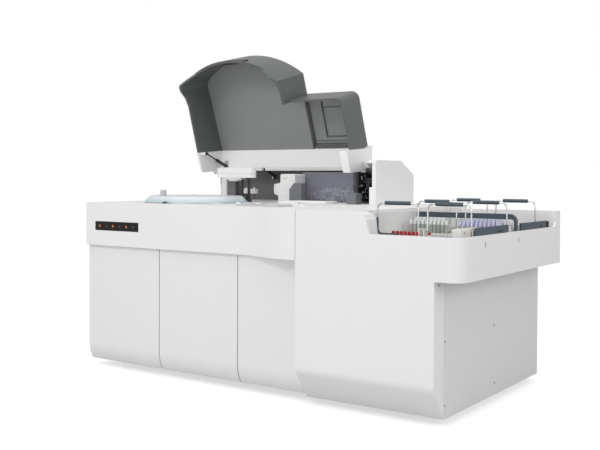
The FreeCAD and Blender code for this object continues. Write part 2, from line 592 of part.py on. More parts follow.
def hood():
    outer = dome("hood_outer", "0", "hood_top")
    inner = dome("hood_inner", "hood_wall", "hood_top - hood_wall")
    low = "-hood_skirt - 60"
    trim = prism("skirt_trim", "YZ", [
        ("10", "-edge_rear"), ("-edge_break", "-edge_mid"), ("-edge_break - 84", "-hood_skirt"),
        ("-edge_break - 112", "-edge_mid", "6"), ("-edge_break - 128", "-edge_front"),
        ("-bell_tip - bell_lip - 60", "-edge_front"),
        ("-bell_tip - bell_lip - 60", low), ("10", low)], "bell_wide + 60", ("-50", "0", "0"))
    bay_trim = box("bay_trim", ("bell_wide + 10", "-bell_side - 100", low),
                   ("hood_wide - bell_wide + 60", "bell_side + 130", "hood_skirt + 60 - edge_bay"))
    left_seam = prism("left_seam_trim", "YZ", [
        ("-seam_back", "hood_top + 40"), ("-seam_back", "liner_low"),
        ("-seam_back - seam_lean * (liner_low + hood_skirt + 60)", low), ("60", low),
        ("60", "hood_top + 40")],
        "hood_wide + 100", ("-50", "0", "0"))
    grip = box("grip_hole", ("grip_left", "-bell_tip - bell_lip - 60", "-edge_front + 14"),
               ("grip_wide", "110", "26"))
    hole = box("window_hole", ("window_left", "-window_back - window_long", "hood_top - hood_wall - 20"),
               ("window_wide", "window_long", "60"))
    shell = cut("hood_shell", outer, [inner, trim, bay_trim, left_seam, grip, hole])
    keep("hood_shell", open_pose(shell))
    block = prism("liner_block", "XY", [
        ("2", "-seam_back"), ("2", "-bell_side - 11"), ("liner_chamfer + 141", "-bell_side - 162"),
        ("bell_wide - hood_wall", "-bell_side - 162"), ("bell_wide - hood_wall", "-liner_step"),
        ("bell_wide + 6", "-liner_step"), ("bell_wide + 6", "-seam_back")],
        "hood_top - hood_wall - liner_low",
        ("0", "0", "liner_low"))
    cavity = dome("liner_cavity", "hood_wall", "hood_top - hood_wall")
    keep("hood_liner", open_pose(common("hood_liner", block, cavity)))
    pane = box("window_pane", ("window_left + face_gap", "-window_back - window_long + face_gap",
                               "hood_top - hood_wall"),
               ("window_wide - 2 * face_gap", "window_long - 2 * face_gap", "window_thick"))
    keep("hood_window", open_pose(group("hood_window", [pane])))


def hood_rear():
    """White moulding along the hinge: roof strip, end walls, hinge ears and strut mounts."""
    strip = [("-seam_back", "liner_low"), ("-14", "34"), ("rear_reach", "34"), ("rear_reach", "rear_drop"),
             ("-91", "hood_top - 11"), ("-seam_back", "hood_top")]
    left = [("-seam_back - seam_lean * (liner_low + edge_rear)", "-edge_rear"), ("-seam_back", "liner_low"),
            ("-seam_back", "hood_top"), ("-91", "hood_top - 11"), ("rear_reach", "rear_drop"),
            ("rear_reach", "34"), ("-43", "-edge_rear")]
    pieces = [prism("roof_strip", "YZ", strip, "block_wide"),
              prism("left_end", "YZ", left, "14"),
              prism("right_end", "YZ", left, "block_wide - hood_wide + 14", ("hood_wide - 14", "0", "0")),
              rod("left_ear", ("0", "0", "0"), "ear_radius", "14", "x"),
              rod("right_ear", ("block_wide - 14", "0", "0"), "ear_radius", "14", "x"),
              rod("strut_stud", ("14", "-strut_eye_y", "-strut_eye_z"), "eye_radius",
                  "strut_x - hood_left - eye_thick / 2 - eye_gap - 14", "x")]
    rear_x = "rear_strut_x - hood_left"
    notch = box("rear_notch", (rear_x + " - 13", "-11", "10"), ("23", "40", "80"))
    slot = box("strut_slot", ("strut_x - hood_left - 15", "-50", "10"), ("30", "70", "120"))
    boss = rod("rear_boss", (rear_x + " - 14", "rear_eye_y", "rear_eye_z"), "6",
               "14 - eye_thick / 2 - eye_gap", "x")
    bores = [rod("left_ear_bore", ("-1", "0", "0"), "hinge_pin + pin_play", "25", "x"),
             rod("right_ear_bore", ("block_wide - 24", "0", "0"), "hinge_pin + pin_play", "25", "x")]
    frame = cut("rear_moulding", fuse("rear_moulding_solid", pieces), [notch, slot] + bores)
    keep("hood_rear_frame", open_pose(fuse("hood_rear_frame", [frame, boss])))


# Gas struts: tube on the cabinet side, rod on the hood side, drawn along their own line
def strut(name, x, foot_z, eye_spot, sizes):
    tube_long, rod_long, bore = sizes
    lean = "-atan((%s - %s) / (strut_foot_y - %s))" % (eye_spot[1], foot_z, eye_spot[0])
    eye = rod(name + "_foot_eye", (0, 0, 0), "eye_radius", "eye_thick", "x")
    neck = rod(name + "_neck", ("eye_thick / 2", "-" + bore, 0), "5", bore, "y")
    barrel = rod(name + "_barrel", ("eye_thick / 2", "-" + tube_long, 0), "tube_radius",
                 "%s - eye_radius - 2" % tube_long, "y")
    hole = rod(name + "_foot_hole", (-1, 0, 0), "strut_pin + pin_play", "eye_thick + 2", "x")
    bore_tool = rod(name + "_bore", ("eye_thick / 2", "-%s - 1" % tube_long, 0), "rod_radius + pin_play",
                    "%s - %s + 1" % (tube_long, bore), "y")
    tube = cut(name + "_tube", fuse(name + "_tube_solid", [eye, neck, barrel]), [hole, bore_tool])
    lug = rod(name + "_lug", (0, 0, 0), "eye_radius", "eye_thick", "x")
    stem = rod(name + "_stem", ("eye_thick / 2", 0, 0), "rod_radius", rod_long, "y")
    rod_item = fuse(name + "_rod", [lug, stem])
    for item, y, z in ((tube, "strut_foot_y", foot_z), (rod_item, eye_spot[0], eye_spot[1])):
        item.Placement = FreeCAD.Placement(V(0, 0, 0), FreeCAD.Rotation(V(1, 0, 0), -1))
        item.setExpression("Placement.Rotation.Angle", bound(lean))
        seat(item, ("left_x + %s - eye_thick / 2" % x, "front_y + " + y, z))
    keep(name + "_tube", tube)
    keep(name + "_rod", rod_item)


# Reagent carousel in its well, with the lid over it
def carousel():
    centre = ("left_x + disk_x", "front_y + disk_y", "worktop_high")
    keep("disk_well", turned("disk_well", [
        ("spindle_radius + pin_play", "-well_deep"), ("well_radius - face_gap", "-well_deep"),
        ("well_radius - face_gap", "0"), ("disk_radius - 4", "0"), ("disk_radius - 4", "ring_high"),
        ("well_radius - well_wall", "ring_high"), ("well_radius - well_wall", "well_wall - well_deep"),
        ("spindle_radius + pin_play", "well_wall - well_deep")], centre))
    floor = "-pack_floor - carousel_thick"
    keep("reagent_carousel", turned("reagent_carousel", [
        ("0", "-well_deep - 24"), ("spindle_radius", "-well_deep - 24"), ("spindle_radius", floor),
        ("carousel_radius", floor), ("carousel_radius", "-pack_floor"), ("hub_radius", "-pack_floor"),
        ("hub_radius", "-4"), ("0", "-4")], centre))
    packs = []
    for k in range(int(num("pack_count"))):
        turn = "(%d * 360 / pack_count)" % k
        pack = box("pack_%d" % k,
                   ("left_x + disk_x + pack_inner * cos(%s) + pack_wide / 2 * sin(%s)" % (turn, turn),
                                   "front_y + disk_y + pack_inner * sin(%s) - pack_wide / 2 * cos(%s)"
                                   % (turn, turn), "worktop_high - pack_floor"),
                   ("pack_long", "pack_wide", "pack_high"))
        pack.Placement = FreeCAD.Placement(V(0, 0, 0), FreeCAD.Rotation(V(0, 0, 1), 1))
        pack.setExpression("Placement.Rotation.Angle", bound(turn))
        packs.append(pack)
    keep("reagent_packs", group("reagent_packs", packs))
    keep("disk_cover", turned("disk_cover", [
        ("disk_radius - cover_wall", "ring_high"), ("disk_radius", "ring_high"),
        ("disk_radius - cover_lean", "cover_high"), ("0", "cover_high"), ("0", "cover_high - cover_wall"),
        ("disk_radius - cover_lean - cover_wall", "cover_high - cover_wall")], centre))
    keep("cover_knob", rod("cover_knob", ("left_x + knob_x", "front_y + knob_y",
                                          "worktop_high + cover_high"),
                           "knob_radius", "knob_high"))


# Pipetting arm on its lifting post, and the small washing arm behind it
def arms():
    spot = ("left_x + arm_x", "front_y + arm_y")
    head = prism("arm_shell", "XY", [
        ("-arm_long", "-arm_half", "arm_nose"), ("arm_end", "-arm_half", "arm_half - 1"),
        ("arm_end", "arm_half", "arm_half - 1"), ("-arm_long", "arm_half", "arm_nose")], "arm_high",
        spot + ("arm_low",))
    socket = rod("arm_socket", spot + ("arm_low - 1",), "post_radius + pin_play", "31")
    keep("arm_head", cut("arm_head", head, [socket]))
    keep("arm_post", rod("arm_post", spot + ("post_foot",), "post_radius", "arm_low + 30 - post_foot"))
    probes = []
    for k in range(2):
        x = "left_x + arm_x - probe_first - %d * probe_pitch" % k
        tip = rod("probe_%d" % k, (x, "front_y + arm_y", "arm_low - probe_drop"), "probe_radius",
                  "probe_drop")
        hub = rod("probe_hub_%d" % k, (x, "front_y + arm_y", "arm_low - 12"), "5", "12")
        probes.append(fuse("probe_set_%d" % k, [tip, hub]))
    keep("arm_probes", group("arm_probes", probes))
    wash = ("left_x + wash_x", "front_y + wash_y")
    keep("wash_arm", prism("wash_arm", "XY", [
        ("-wash_end", "-wash_half", "8"), ("wash_long", "-wash_half", "8"), ("wash_long", "wash_half", "8"),
        ("-wash_end", "wash_half", "8")], "wash_high", wash + ("wash_low",)))
    post = rod("wash_post_rod", wash + ("worktop_low - 20",), "wash_post", "wash_low - worktop_low + 20")
    needle = rod("wash_needle_rod", ("left_x + wash_x + needle_reach", "front_y + wash_y",
                                     "worktop_high + 12"),
                 "probe_radius", "wash_low - worktop_high - 12")
    keep("wash_post", group("wash_post", [post, needle]))
    collars = []
    for name, place, radius in (("arm_collar", spot, "post_radius"), ("wash_collar", wash, "wash_post")):
        sleeve = rod(name + "_sleeve", place + ("worktop_low",), "guide_radius",
                     "worktop_thick + guide_high")
        hole = rod(name + "_hole", place + ("worktop_low - 1",), radius + " + pin_play",
                   "worktop_thick + guide_high + 2")
        collars.append(cut(name, sleeve, [hole]))
    collars.append(rod("still_rod", ("left_x + still_rod_x", "front_y + arm_y", "worktop_high"),
                       "post_radius",
                       "arm_low - 4 - worktop_high"))
    keep("arm_guides", group("arm_guides", collars))


# What stands on the worktop
def deck_units():
    unit = prism("unit_profile", "XZ", [
        ("30", "0"), ("143", "0", "6"), ("143", "155", "10"),
        ("45", "155", "10"), ("45", "105", "8"), ("0", "98", "10"), ("0", "45", "10"), ("30", "35", "6")],
        "unit_deep", ("left_x + unit_x", "front_y + unit_y", "worktop_high"))
    keep("measuring_unit", unit)
    blocks = [prism("wash_block", "XZ", [
        ("0", "0"), ("80", "0"), ("80", "block_high", "4"), ("30", "block_high", "4"),
        ("0", "block_high - 35", "4")],
        "block_deep", ("left_x + block_x", "front_y + block_y", "worktop_high"))]
    place = ("left_x + hopper_x", "front_y + hopper_y", "worktop_high")
    bin_body = prism("hopper_outer", "XY", [
        ("0", "0", "12"), ("hopper_wide", "0", "12"), ("hopper_wide", "hopper_deep", "12"),
        ("0", "hopper_deep", "12")], "hopper_high", place)
    inside = box("hopper_inside", ("left_x + hopper_x + hopper_wall", "front_y + hopper_y + hopper_wall",
                                   "worktop_high + hopper_wall"),
                 ("hopper_wide - 2 * hopper_wall", "hopper_deep - 2 * hopper_wall", "hopper_high"))
    keep("vessel_hopper", cut("vessel_hopper", bin_body, [inside]))
    keep("hopper_vessels", box("hopper_vessels", (
        "left_x + hopper_x + hopper_wall + 4", "front_y + hopper_y + hopper_wall + 4",
        "worktop_high + hopper_wall"),
        ("hopper_wide - 2 * hopper_wall - 8", "hopper_deep - 2 * hopper_wall - 8", "hopper_fill")))
    x, y = "left_x + gantry_x", "front_y + gantry_y"
    frame = [box("gantry_base", (x, y, "worktop_high"), ("gantry_wide", "190", "gantry_plate")),
             box("gantry_side", (x, y, "worktop_high"), ("gantry_plate", "190", "gantry_high")),
             box("gantry_back", (x, y + " + 178", "worktop_high"),
                 ("gantry_wide", "gantry_plate", "gantry_high")),
             box("gantry_top", (x, y + " + 110", "worktop_high + gantry_high - gantry_plate"),
                 ("gantry_wide", "80", "gantry_plate")),
             rod("gantry_rail", (x, y + " + 60", "worktop_high + 120"), "7", "gantry_wide", "x"),
             box("gantry_end", (x + " + gantry_wide - gantry_plate", y, "worktop_high"),
                 ("gantry_plate", "190", "130"))]
    keep("vessel_gantry", fuse("vessel_gantry", frame))
    blocks.append(box("reader_block", ("left_x + reader_x", "front_y + reader_y", "worktop_high"),
                      ("reader_wide", "reader_deep", "reader_high")))
    keep("reader_blocks", group("reader_blocks", blocks))
    plate = prism("incubator_plate", "XY", [
        ("0", "0", "8"), ("plate_wide", "0", "8"), ("plate_wide", "plate_deep", "8"),
        ("0", "plate_deep", "8")],
        "plate_high", ("left_x + disk_x + disk_radius + 8", "front_y + plate_y", "worktop_high"))
    shelf = prism("shelf_plate", "XY", [
        ("0", "0", "8"), ("shelf_wide", "0", "8"), ("shelf_wide", "shelf_deep", "8"),
        ("0", "shelf_deep", "8")],
        "shelf_high", ("left_x + shelf_x", "front_y + shelf_y", "worktop_high"))
    keep("deck_plates", group("deck_plates", [plate, shelf]))


# Tower beside the sample module: side wall, rear slope and roof edge, open to the front and left
def tower():
    rise = [("tower_front", "worktop_high"), ("tower_front", "tower_top", "14"),
            ("tower_break", "tower_top", "14"), ("tower_back", "tower_low", "14"),
            ("tower_back", "worktop_high")]
    outer = prism("tower_solid", "YZ", rise, "unit_wide - tower_left",
                  ("left_x + tower_left", "front_y", "0"))
    inside = [("tower_front - 10", "worktop_high - 5"), ("tower_front - 10", "tower_top - 12"),
              ("tower_break - 5", "tower_top - 12"), ("tower_back - 12", "tower_low - 6"),
              ("tower_back - 12", "worktop_high - 5")]
    hollow = prism("tower_hollow", "YZ", inside, "unit_wide - tower_left - tower_wall + 1",
                   ("left_x + tower_left - 1", "front_y", "0"))
    # the hood's end block swings down beside the roof, so only the part over the side wall runs forward
    relief = box("tower_relief", ("left_x + tower_left - 1", "front_y + tower_front - 1", "tower_low + 20"),
                 ("unit_wide - tower_left - pillar_wide + 1", "tower_break - tower_front - 20",
                  "tower_top - tower_low"))
    pillar = prism("tower_pillar", "XY", [
        ("0", "0", "12"), ("pillar_wide", "0"), ("pillar_wide", "pillar_deep"), ("0", "pillar_deep", "12")],
        "pillar_high", ("module_x - pillar_wide", "front_y + tower_front", "worktop_high"))
    keep("tower_cover", fuse("tower_cover", [cut("tower_shell", outer, [hollow, relief]), pillar]))


# Sample module: frame, wrapped front, skins, top and the tray that overhangs its side
def toe(back):
    """The module's front in side view: upright face and a toe that slants back to the floor."""
    return [(back, "module_foot"), ("toe_deep", "module_foot"), ("0", "module_foot + toe_high", "toe_round"),
            ("0", "module_top"), (back, "module_top")]


def module_front():
    outer = prism("wrap_outer", "YZ", toe("return_deep + 40"), "module_wide", ("module_x", "front_y", "0"))
    inner = prism("wrap_inner", "YZ", [
        ("return_deep + 60", "module_foot - 5"), ("toe_deep + front_skin", "module_foot - 5"),
        ("front_skin", "module_foot + toe_high", "toe_round - front_skin"), ("front_skin", "module_top + 5"),
        ("return_deep + 60", "module_top + 5")], "module_wide - 2 * front_skin",
        ("module_x + front_skin", "front_y", "0"))
    back = box("wrap_back", ("module_x - 5", "front_y + return_deep", "module_foot - 5"),
               ("module_wide + 10", "100", "module_top"))
    over = box("wrap_over", ("cabinet_x - front_skin - 1", "front_y + front_skin", "tray_low"),
               ("front_skin + 5", "200", "400"))
    corner = prism("corner_outer", "XY", [
        ("0", "0"), ("module_wide + tray_overhang", "0", "tray_corner"),
        ("module_wide + tray_overhang", "corner_seam"), ("0", "corner_seam")], "tray_high - tray_low",
        ("module_x", "front_y", "tray_low"))
    hollow = prism("corner_inner", "XY", [
        ("-5", "front_skin"), ("module_wide + tray_overhang - front_skin", "front_skin",
                               "tray_corner - 2 * front_skin"),
        ("module_wide + tray_overhang - front_skin", "corner_seam + 5"), ("-5", "corner_seam + 5")],
        "tray_high - tray_low + 10", ("module_x", "front_y", "tray_low - 5"))
    lip = cut("corner_wall", corner, [hollow])
    slope = prism("front_slope", "XZ", [
        ("slope_start", "module_top + 5"), ("slope_start", "module_top"),
        ("slope_start + 34", "module_top - 11"),
        ("slope_start + 48", "module_top - 33"), ("slope_end", "tray_high"),
        ("module_wide + 10", "tray_high"),
        ("module_wide + 10", "module_top + 5")], "60", ("module_x", "front_y - 10", "0"))
    wrap = cut("front_wrap", outer, [inner, back, over, slope])
    keep("module_front", fuse("module_front", [wrap, lip]))


def module_body():
    low = "module_foot + 10"
    side = box("module_side_panel", ("cabinet_x - skin", "front_y + return_deep + 1", "module_foot"),
               ("skin", "deep - return_deep - 1", "tray_low - module_foot - 1"))
    rear = box("module_rear_panel", ("module_x", "back_y - skin", "module_foot"),
               ("module_wide - skin", "skin", "tray_low - module_foot - 1"))
    keep("module_skins", group("module_skins", [side, rear]))
    plate = prism("module_top_plate", "XZ", [
        ("0", "module_top - front_skin"), ("basin_left", "module_top - front_skin"),
        ("basin_left", "module_top"),
        ("0", "module_top")], "deep - front_skin", ("module_x", "front_y + front_skin", "0"))
    back = box("module_back_plate", ("module_x", "back_y - front_skin", "tray_low"),
               ("basin_left", "front_skin", "module_top - front_skin - tray_low"))
    corner = box("module_top_notch", ("module_x - 1", "front_y", "module_top - front_skin - 1"),
                 ("front_skin + 1", "return_deep", "front_skin + 2"))
    keep("module_top", fuse("module_top", [cut("module_top_trimmed", plate, [corner]), back]))
    bars = []
    for k, (x, y) in enumerate((("module_x + 20", "150"), ("cabinet_x - skin - tube", "150"),
                                ("module_x + 20", "deep - skin - tube"),
                                ("cabinet_x - skin - tube", "deep - skin - tube"))):
        bars.append(box("module_column_%d" % k, (x, "front_y + " + y, low),
                        ("tube", "tube", "tray_low - module_foot - 30")))
    bars.append(box("module_pan", ("module_x + 20", "front_y + 150", low),
                    ("module_wide - skin - 20", "deep - 150 - skin", "8")))
    for k, y in enumerate(("150", "deep - skin - tube")):
        bars.append(box("module_rail_%d" % k, ("module_x + 20", "front_y + " + y, "tray_low - tube - 20"),
                        ("module_wide - skin - 20", "tube", "tube")))
    return fuse("module_frame", bars)


def sample_tray():
    """White basin with a tall left wall and rear wall, and the overhanging side and rear skin."""
    ring = prism("tray_outer", "XY", [
        ("0", "corner_seam + 0.5"), ("module_wide + tray_overhang - basin_left", "corner_seam + 0.5"),
        ("module_wide + tray_overhang - basin_left", "deep", "rear_round"), ("0", "deep")],
        "rear_wall_top - tray_low", ("basin_x", "front_y", "tray_low"))
    hollow = box("tray_hollow", ("basin_x + basin_wall", "front_y", "basin_floor"),
                 ("module_wide + tray_overhang - basin_left - basin_wall - front_skin", "rear_wall_y",
                  "300"))
    under = box("tray_under", ("basin_x - 1", "front_y + corner_seam", "tray_low - 1"),
                ("module_wide + tray_overhang - basin_left - front_skin + 1",
                 "deep - corner_seam - front_skin",
                 "basin_floor - basin_wall - tray_low + 1"))
    crown = prism("rear_crown", "YZ", [
        ("corner_seam", "tray_high"), ("rear_wall_y - 22", "tray_high"), ("rear_wall_y", "tray_high + 20"),
        ("rear_wall_y", "rear_wall_top + 5"), ("corner_seam", "rear_wall_top + 5")],
        "module_wide + tray_overhang - basin_left + 1", ("basin_x + basin_wall", "front_y", "0"))
    skin = cut("tray_skin", ring, [hollow, under, crown])
    floor = box("basin_plate", ("basin_x", "front_y + front_skin", "basin_floor - basin_wall"),
                ("module_wide + tray_overhang - basin_left - front_skin - 60", "corner_seam - front_skin",
                 "basin_wall"))
    left = box("basin_left_wall", ("basin_x", "front_y + front_skin", "basin_floor - basin_wall"),
               ("basin_wall", "corner_seam - front_skin",
                "module_top - front_skin - basin_floor + basin_wall"))
    shoulder = prism("basin_shoulder", "XZ", [
        ("basin_left", "basin_floor + carrier_high + 3"), ("slope_end - 8",
                                                           "basin_floor + carrier_high + 3"),
        ("slope_end - 8", "tray_high"),
        ("slope_start + 47", "module_top - 34"), ("slope_start + 33", "module_top - 12"),
        ("slope_start", "module_top - 1"), ("basin_left", "module_top - 1")], "web_deep - front_skin",
        ("module_x", "front_y + front_skin", "0"))
    keep("sample_tray", fuse("sample_tray", [skin, floor, left, shoulder]))


# Rack carriers: open boxes with ears for a swinging bail, racks inside, capped tubes in front
SPOTS = [("one", "first_column", "first_row"), ("two", "second_column", "first_row"),
         ("three", "first_column", "second_row"), ("four", "second_column", "second_row"),
         ("five", "first_column", "third_row"), ("six", "second_column", "third_row")]


def carriers():
    boxes, racks = [], []
    for tag, column, line in SPOTS:
        x, y = "module_x + " + column, "front_y + " + line
        outer = box("carrier_outer_" + tag, (x + " - carrier_wide / 2", y + " - carrier_deep / 2",
                                             "basin_floor"),
                    ("carrier_wide", "carrier_deep", "carrier_high"))
        inner = box("carrier_inner_" + tag, (
            x + " - carrier_wide / 2 + carrier_wall", y + " - carrier_deep / 2 + carrier_wall",
            "basin_floor + carrier_wall"),
            ("carrier_wide - 2 * carrier_wall", "carrier_deep - 2 * carrier_wall", "carrier_high"))
        ears, bores = [], []
        for side, ear_x in (("left", " - carrier_wide / 2"), ("right",
                                                              " + carrier_wide / 2 - carrier_wall")):
            ears.append(box("ear_%s_%s" % (side, tag), (x + ear_x, y + " - ear_half", "basin_floor"),
                            ("carrier_wall", "2 * ear_half", "ear_rise + 10")))
            bores.append(rod("ear_bore_%s_%s" % (side, tag), (x + ear_x + " - 1", y,
                                                              "basin_floor + ear_rise"),
                             "bail_pin + pin_play", "carrier_wall + 2", "x"))
        boxes.append(cut("carrier_" + tag, fuse("carrier_solid_" + tag, [cut("carrier_box_" + tag, outer,
                                                                             [inner])] + ears),
                         bores))
        for k in range(5):
            racks.append(box("rack_%s_%d" % (tag, k), (
                x + " - rack_long / 2 + rack_shift", y + " + %d * rack_pitch - rack_thick / 2" % (k - 2),
                "basin_floor + carrier_wall"), ("rack_long", "rack_thick", "rack_high")))
        keep("bail_" + tag, bail(tag, x, y))
    keep("rack_carriers", group("rack_carriers", boxes))
    keep("sample_racks", group("sample_racks", racks))
    caps = [rod("cap_%d" % k, ("module_x + first_column + rack_shift + %d * cap_pitch - 4.5 * cap_pitch" % k,
                               "front_y + first_row + 2 * rack_pitch", "basin_floor + stopper_low"),
                "cap_radius", "cap_high") for k in range(10)]
    keep("tube_caps", group("tube_caps", caps))
    arch = prism("arch_outer", "XZ", [
        ("0", "arch_top - arch_thick"), ("0", "arch_top", "8"),
        ("module_wide + tray_overhang - basin_left - front_skin - 12", "arch_top", "arch_round"),
        ("module_wide + tray_overhang - basin_left - front_skin - 12", "basin_floor"),
        ("module_wide + tray_overhang - basin_left - front_skin - 22", "basin_floor"),
        ("module_wide + tray_overhang - basin_left - front_skin - 22", "arch_top - arch_thick", "12")],
        "arch_deep", ("basin_x + basin_wall", "front_y + arch_y - arch_deep / 2", "0"))
    bars = [box("side_bar_%d" % k, ("tray_wall_x - 9", "front_y + " + y, "tray_high"),
                ("9", long, "bar_high"))
            for k, (y, long) in enumerate((("160", "340"), ("650", "320")))]
    rail = prism("guide_rail", "XZ", [
        ("0", "0", "guide_round"), ("guide_long", "0"), ("guide_long", "guide_thick"),
        ("guide_thick", "guide_thick", "guide_round - guide_thick"), ("guide_thick", "guide_tall"),
        ("0", "guide_tall")], "8", ("module_x + slope_end - 15", "front_y + web_deep", "tray_high - 6"))
    keep("tray_rails", group("tray_rails", [arch, rail] + bars))


def bail(tag, x, y):
    top = "basin_floor + ear_rise + bail_rise"
    low = "basin_floor + ear_rise"
    outer = prism("bail_frame_" + tag, "XZ", [
        ("-bail_half - bail_wire", "-8"), ("-bail_half - bail_wire", "bail_rise", "bail_round + bail_wire"),
        ("bail_half + bail_wire", "bail_rise", "bail_round + bail_wire"), ("bail_half + bail_wire", "-8"),
        ("bail_half - bail_wire", "-8"), ("bail_half - bail_wire", "bail_rise - 2 * bail_wire",
                                          "bail_round - bail_wire"),
        ("-bail_half + bail_wire", "bail_rise - 2 * bail_wire", "bail_round - bail_wire"),
        ("-bail_half + bail_wire", "-8")], "2 * bail_wire", (x, y + " - bail_wire", low))
    pins = [rod("bail_pin_left_" + tag, (x + " - carrier_wide / 2 + 0.5", y, low), "bail_pin",
                "carrier_wide / 2 - 0.5 - bail_half", "x"),
            rod("bail_pin_right_" + tag, (x + " + bail_half", y, low), "bail_pin",
                "carrier_wide / 2 - 0.5 - bail_half", "x")]
    grip = rod("bail_grip_" + tag, (x + " - grip_half", y, top + " - bail_wire"), "grip_radius",
               "2 * grip_half", "x")
    return fuse("bail_" + tag, [outer] + pins + [grip])


keep("frame_tubes", group("frame_tubes", [main_frame(), module_body()]))
keep("levelling_feet", group("levelling_feet", feet("main_foot", [
    ("left_x + " + x, "front_y + " + y) for x in ("110", "unit_wide / 2", "unit_wide - 110")
    for y in ("post_y + 170", "deep - 100")], "frame_floor") + feet("module_foot_set", [
        (x, y) for x in ("module_x + 70", "cabinet_x - 170") for y in ("front_y + 300", "back_y - 90")],
        "module_foot + 10")))
front_band()
worktop()
doors()
main_skins()
inner_units()
rear_bay()
hood_hinges()
hood()
hood_rear()
strut("front_strut", "strut_x", "strut_foot_z", ("eye_y", "eye_z"), ("tube_long", "rod_long", "bore_start"))
strut("rear_strut", "rear_strut_x", "rear_foot_z", ("rear_eye_out", "rear_eye_up"),
      ("rear_tube_long", "rear_rod_long", "rear_bore_start"))
carousel()
arms()
deck_units()
tower()
module_front()
sample_tray()
carriers()

doc.recompute()
os.makedirs("parts", exist_ok=True)
bad = [item.Name for item in doc.Objects if "Invalid" in item.State or "Error" in item.State]
if bad:
    raise SystemExit("these did not build: " + ", ".join(bad))
for name, item in nodes.items():
    if item.Shape.isNull() or not item.Shape.isValid() or not item.Shape.Solids:
        raise SystemExit("bad shape: " + name)
    item.Shape.exportStep("parts/%s.step" % name)
print(len(nodes), "pieces")
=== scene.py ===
import bmesh
import bpy
import json
import math
import random
from mathutils import Matrix, Vector


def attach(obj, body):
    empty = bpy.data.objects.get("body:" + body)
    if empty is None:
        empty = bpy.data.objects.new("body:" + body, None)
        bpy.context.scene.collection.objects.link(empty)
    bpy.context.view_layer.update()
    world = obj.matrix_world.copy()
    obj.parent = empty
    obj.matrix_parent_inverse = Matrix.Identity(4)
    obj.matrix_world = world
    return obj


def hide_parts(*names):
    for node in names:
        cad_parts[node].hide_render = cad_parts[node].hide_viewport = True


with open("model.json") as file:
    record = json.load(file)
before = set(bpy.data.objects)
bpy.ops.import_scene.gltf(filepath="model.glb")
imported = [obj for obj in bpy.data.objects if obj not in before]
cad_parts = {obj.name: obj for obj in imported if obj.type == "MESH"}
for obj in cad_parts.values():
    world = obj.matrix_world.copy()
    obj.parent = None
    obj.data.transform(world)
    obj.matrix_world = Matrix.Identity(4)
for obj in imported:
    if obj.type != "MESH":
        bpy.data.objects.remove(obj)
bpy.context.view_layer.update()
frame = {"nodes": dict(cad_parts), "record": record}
random.seed(7)

# Pieces are drawn in millimetres: x from the left face, y from the front plane, z from the floor.
# UNIT carries them to the frame, and HOOD does so for what is drawn on the closed hood.
MM = 0.001
MIDDLE = Vector((1096.5, 581.5, 0.0))
HINGE = Vector((136.0, 983.0, 1040.0))
HOOD_OPEN = 70.4
UNIT = Matrix.Scale(MM, 4) @ Matrix.Translation(-MIDDLE)
HOOD = UNIT @ Matrix.Translation(HINGE) @ Matrix.Rotation(math.radians(-HOOD_OPEN), 4, "X")

# Faces of the analyzer that pieces sit on
DECK = 870.0
BACK = 1163.0
MODULE_SIDE = 2073.0
STRIP_FACE = 67.0
UNIT_FACE = 840.0
RACK_TOP = 757.0

# The camera stands where the photograph was taken from, with the same lens
EYE = Vector((2.55703, -3.79251, 1.00885))
YAW, PITCH, ROLL = (math.radians(angle) for angle in (34.729, -1.03, 0.254))
SENSOR, FOCAL_LENGTH, FRAME_SHIFT, SIGHT = 36, 53.969, -0.0532, 100


def photo_camera():
    ahead = Vector((-math.sin(YAW) * math.cos(PITCH), math.cos(YAW) * math.cos(PITCH), math.sin(PITCH)))
    level = Vector((math.cos(YAW), math.sin(YAW), 0))
    above = level.cross(ahead)
    across = level * math.cos(ROLL) + above * math.sin(ROLL)
    upward = above * math.cos(ROLL) - level * math.sin(ROLL)
    lens = bpy.data.cameras.new("photo_camera")
    lens.sensor_width = SENSOR
    lens.lens = FOCAL_LENGTH
    lens.shift_y = FRAME_SHIFT
    lens.clip_end = SIGHT
    camera = bpy.data.objects.new("photo_camera", lens)
    bpy.context.scene.collection.objects.link(camera)
    camera.matrix_world = Matrix.Translation(EYE) @ Matrix((across, upward, -ahead)).transposed().to_4x4()
    bpy.context.scene.camera = camera


photo_camera()

# Surface groups, shared by every finish
CLOUD_SCALE, CLOUD_DETAIL = 2.4, 4.0
GRAIN_DETAIL, GRAIN_SWING = 3.0, 0.08
RELIEF_DEPTH = 0.0004


def feed(tree, socket, value):
    """Gives a socket a plain number, or links another socket to it."""
    if isinstance(value, (int, float)):
        socket.default_value = value
    else:
        tree.links.new(value, socket)


def math_node(tree, operation, *values):
    node = tree.nodes.new("ShaderNodeMath")
    node.operation = operation
    for socket, value in zip(node.inputs, values):
        feed(tree, socket, value)
    return node.outputs[0]


def noise(tree, vector, scale, detail):
    node = tree.nodes.new("ShaderNodeTexNoise")
    tree.links.new(vector, node.inputs["Vector"])
    feed(tree, node.inputs["Scale"], scale)
    feed(tree, node.inputs["Detail"], detail)
    return node.outputs["Fac"]


def new_group(name, inputs, outputs):
    tree = bpy.data.node_groups.new(name, "ShaderNodeTree")
    for label, kind, value in inputs:
        tree.interface.new_socket(label, in_out="INPUT", socket_type=kind).default_value = value
    for label, kind in outputs:
        tree.interface.new_socket(label, in_out="OUTPUT", socket_type=kind)
    return tree, tree.nodes.new("NodeGroupInput"), tree.nodes.new("NodeGroupOutput")


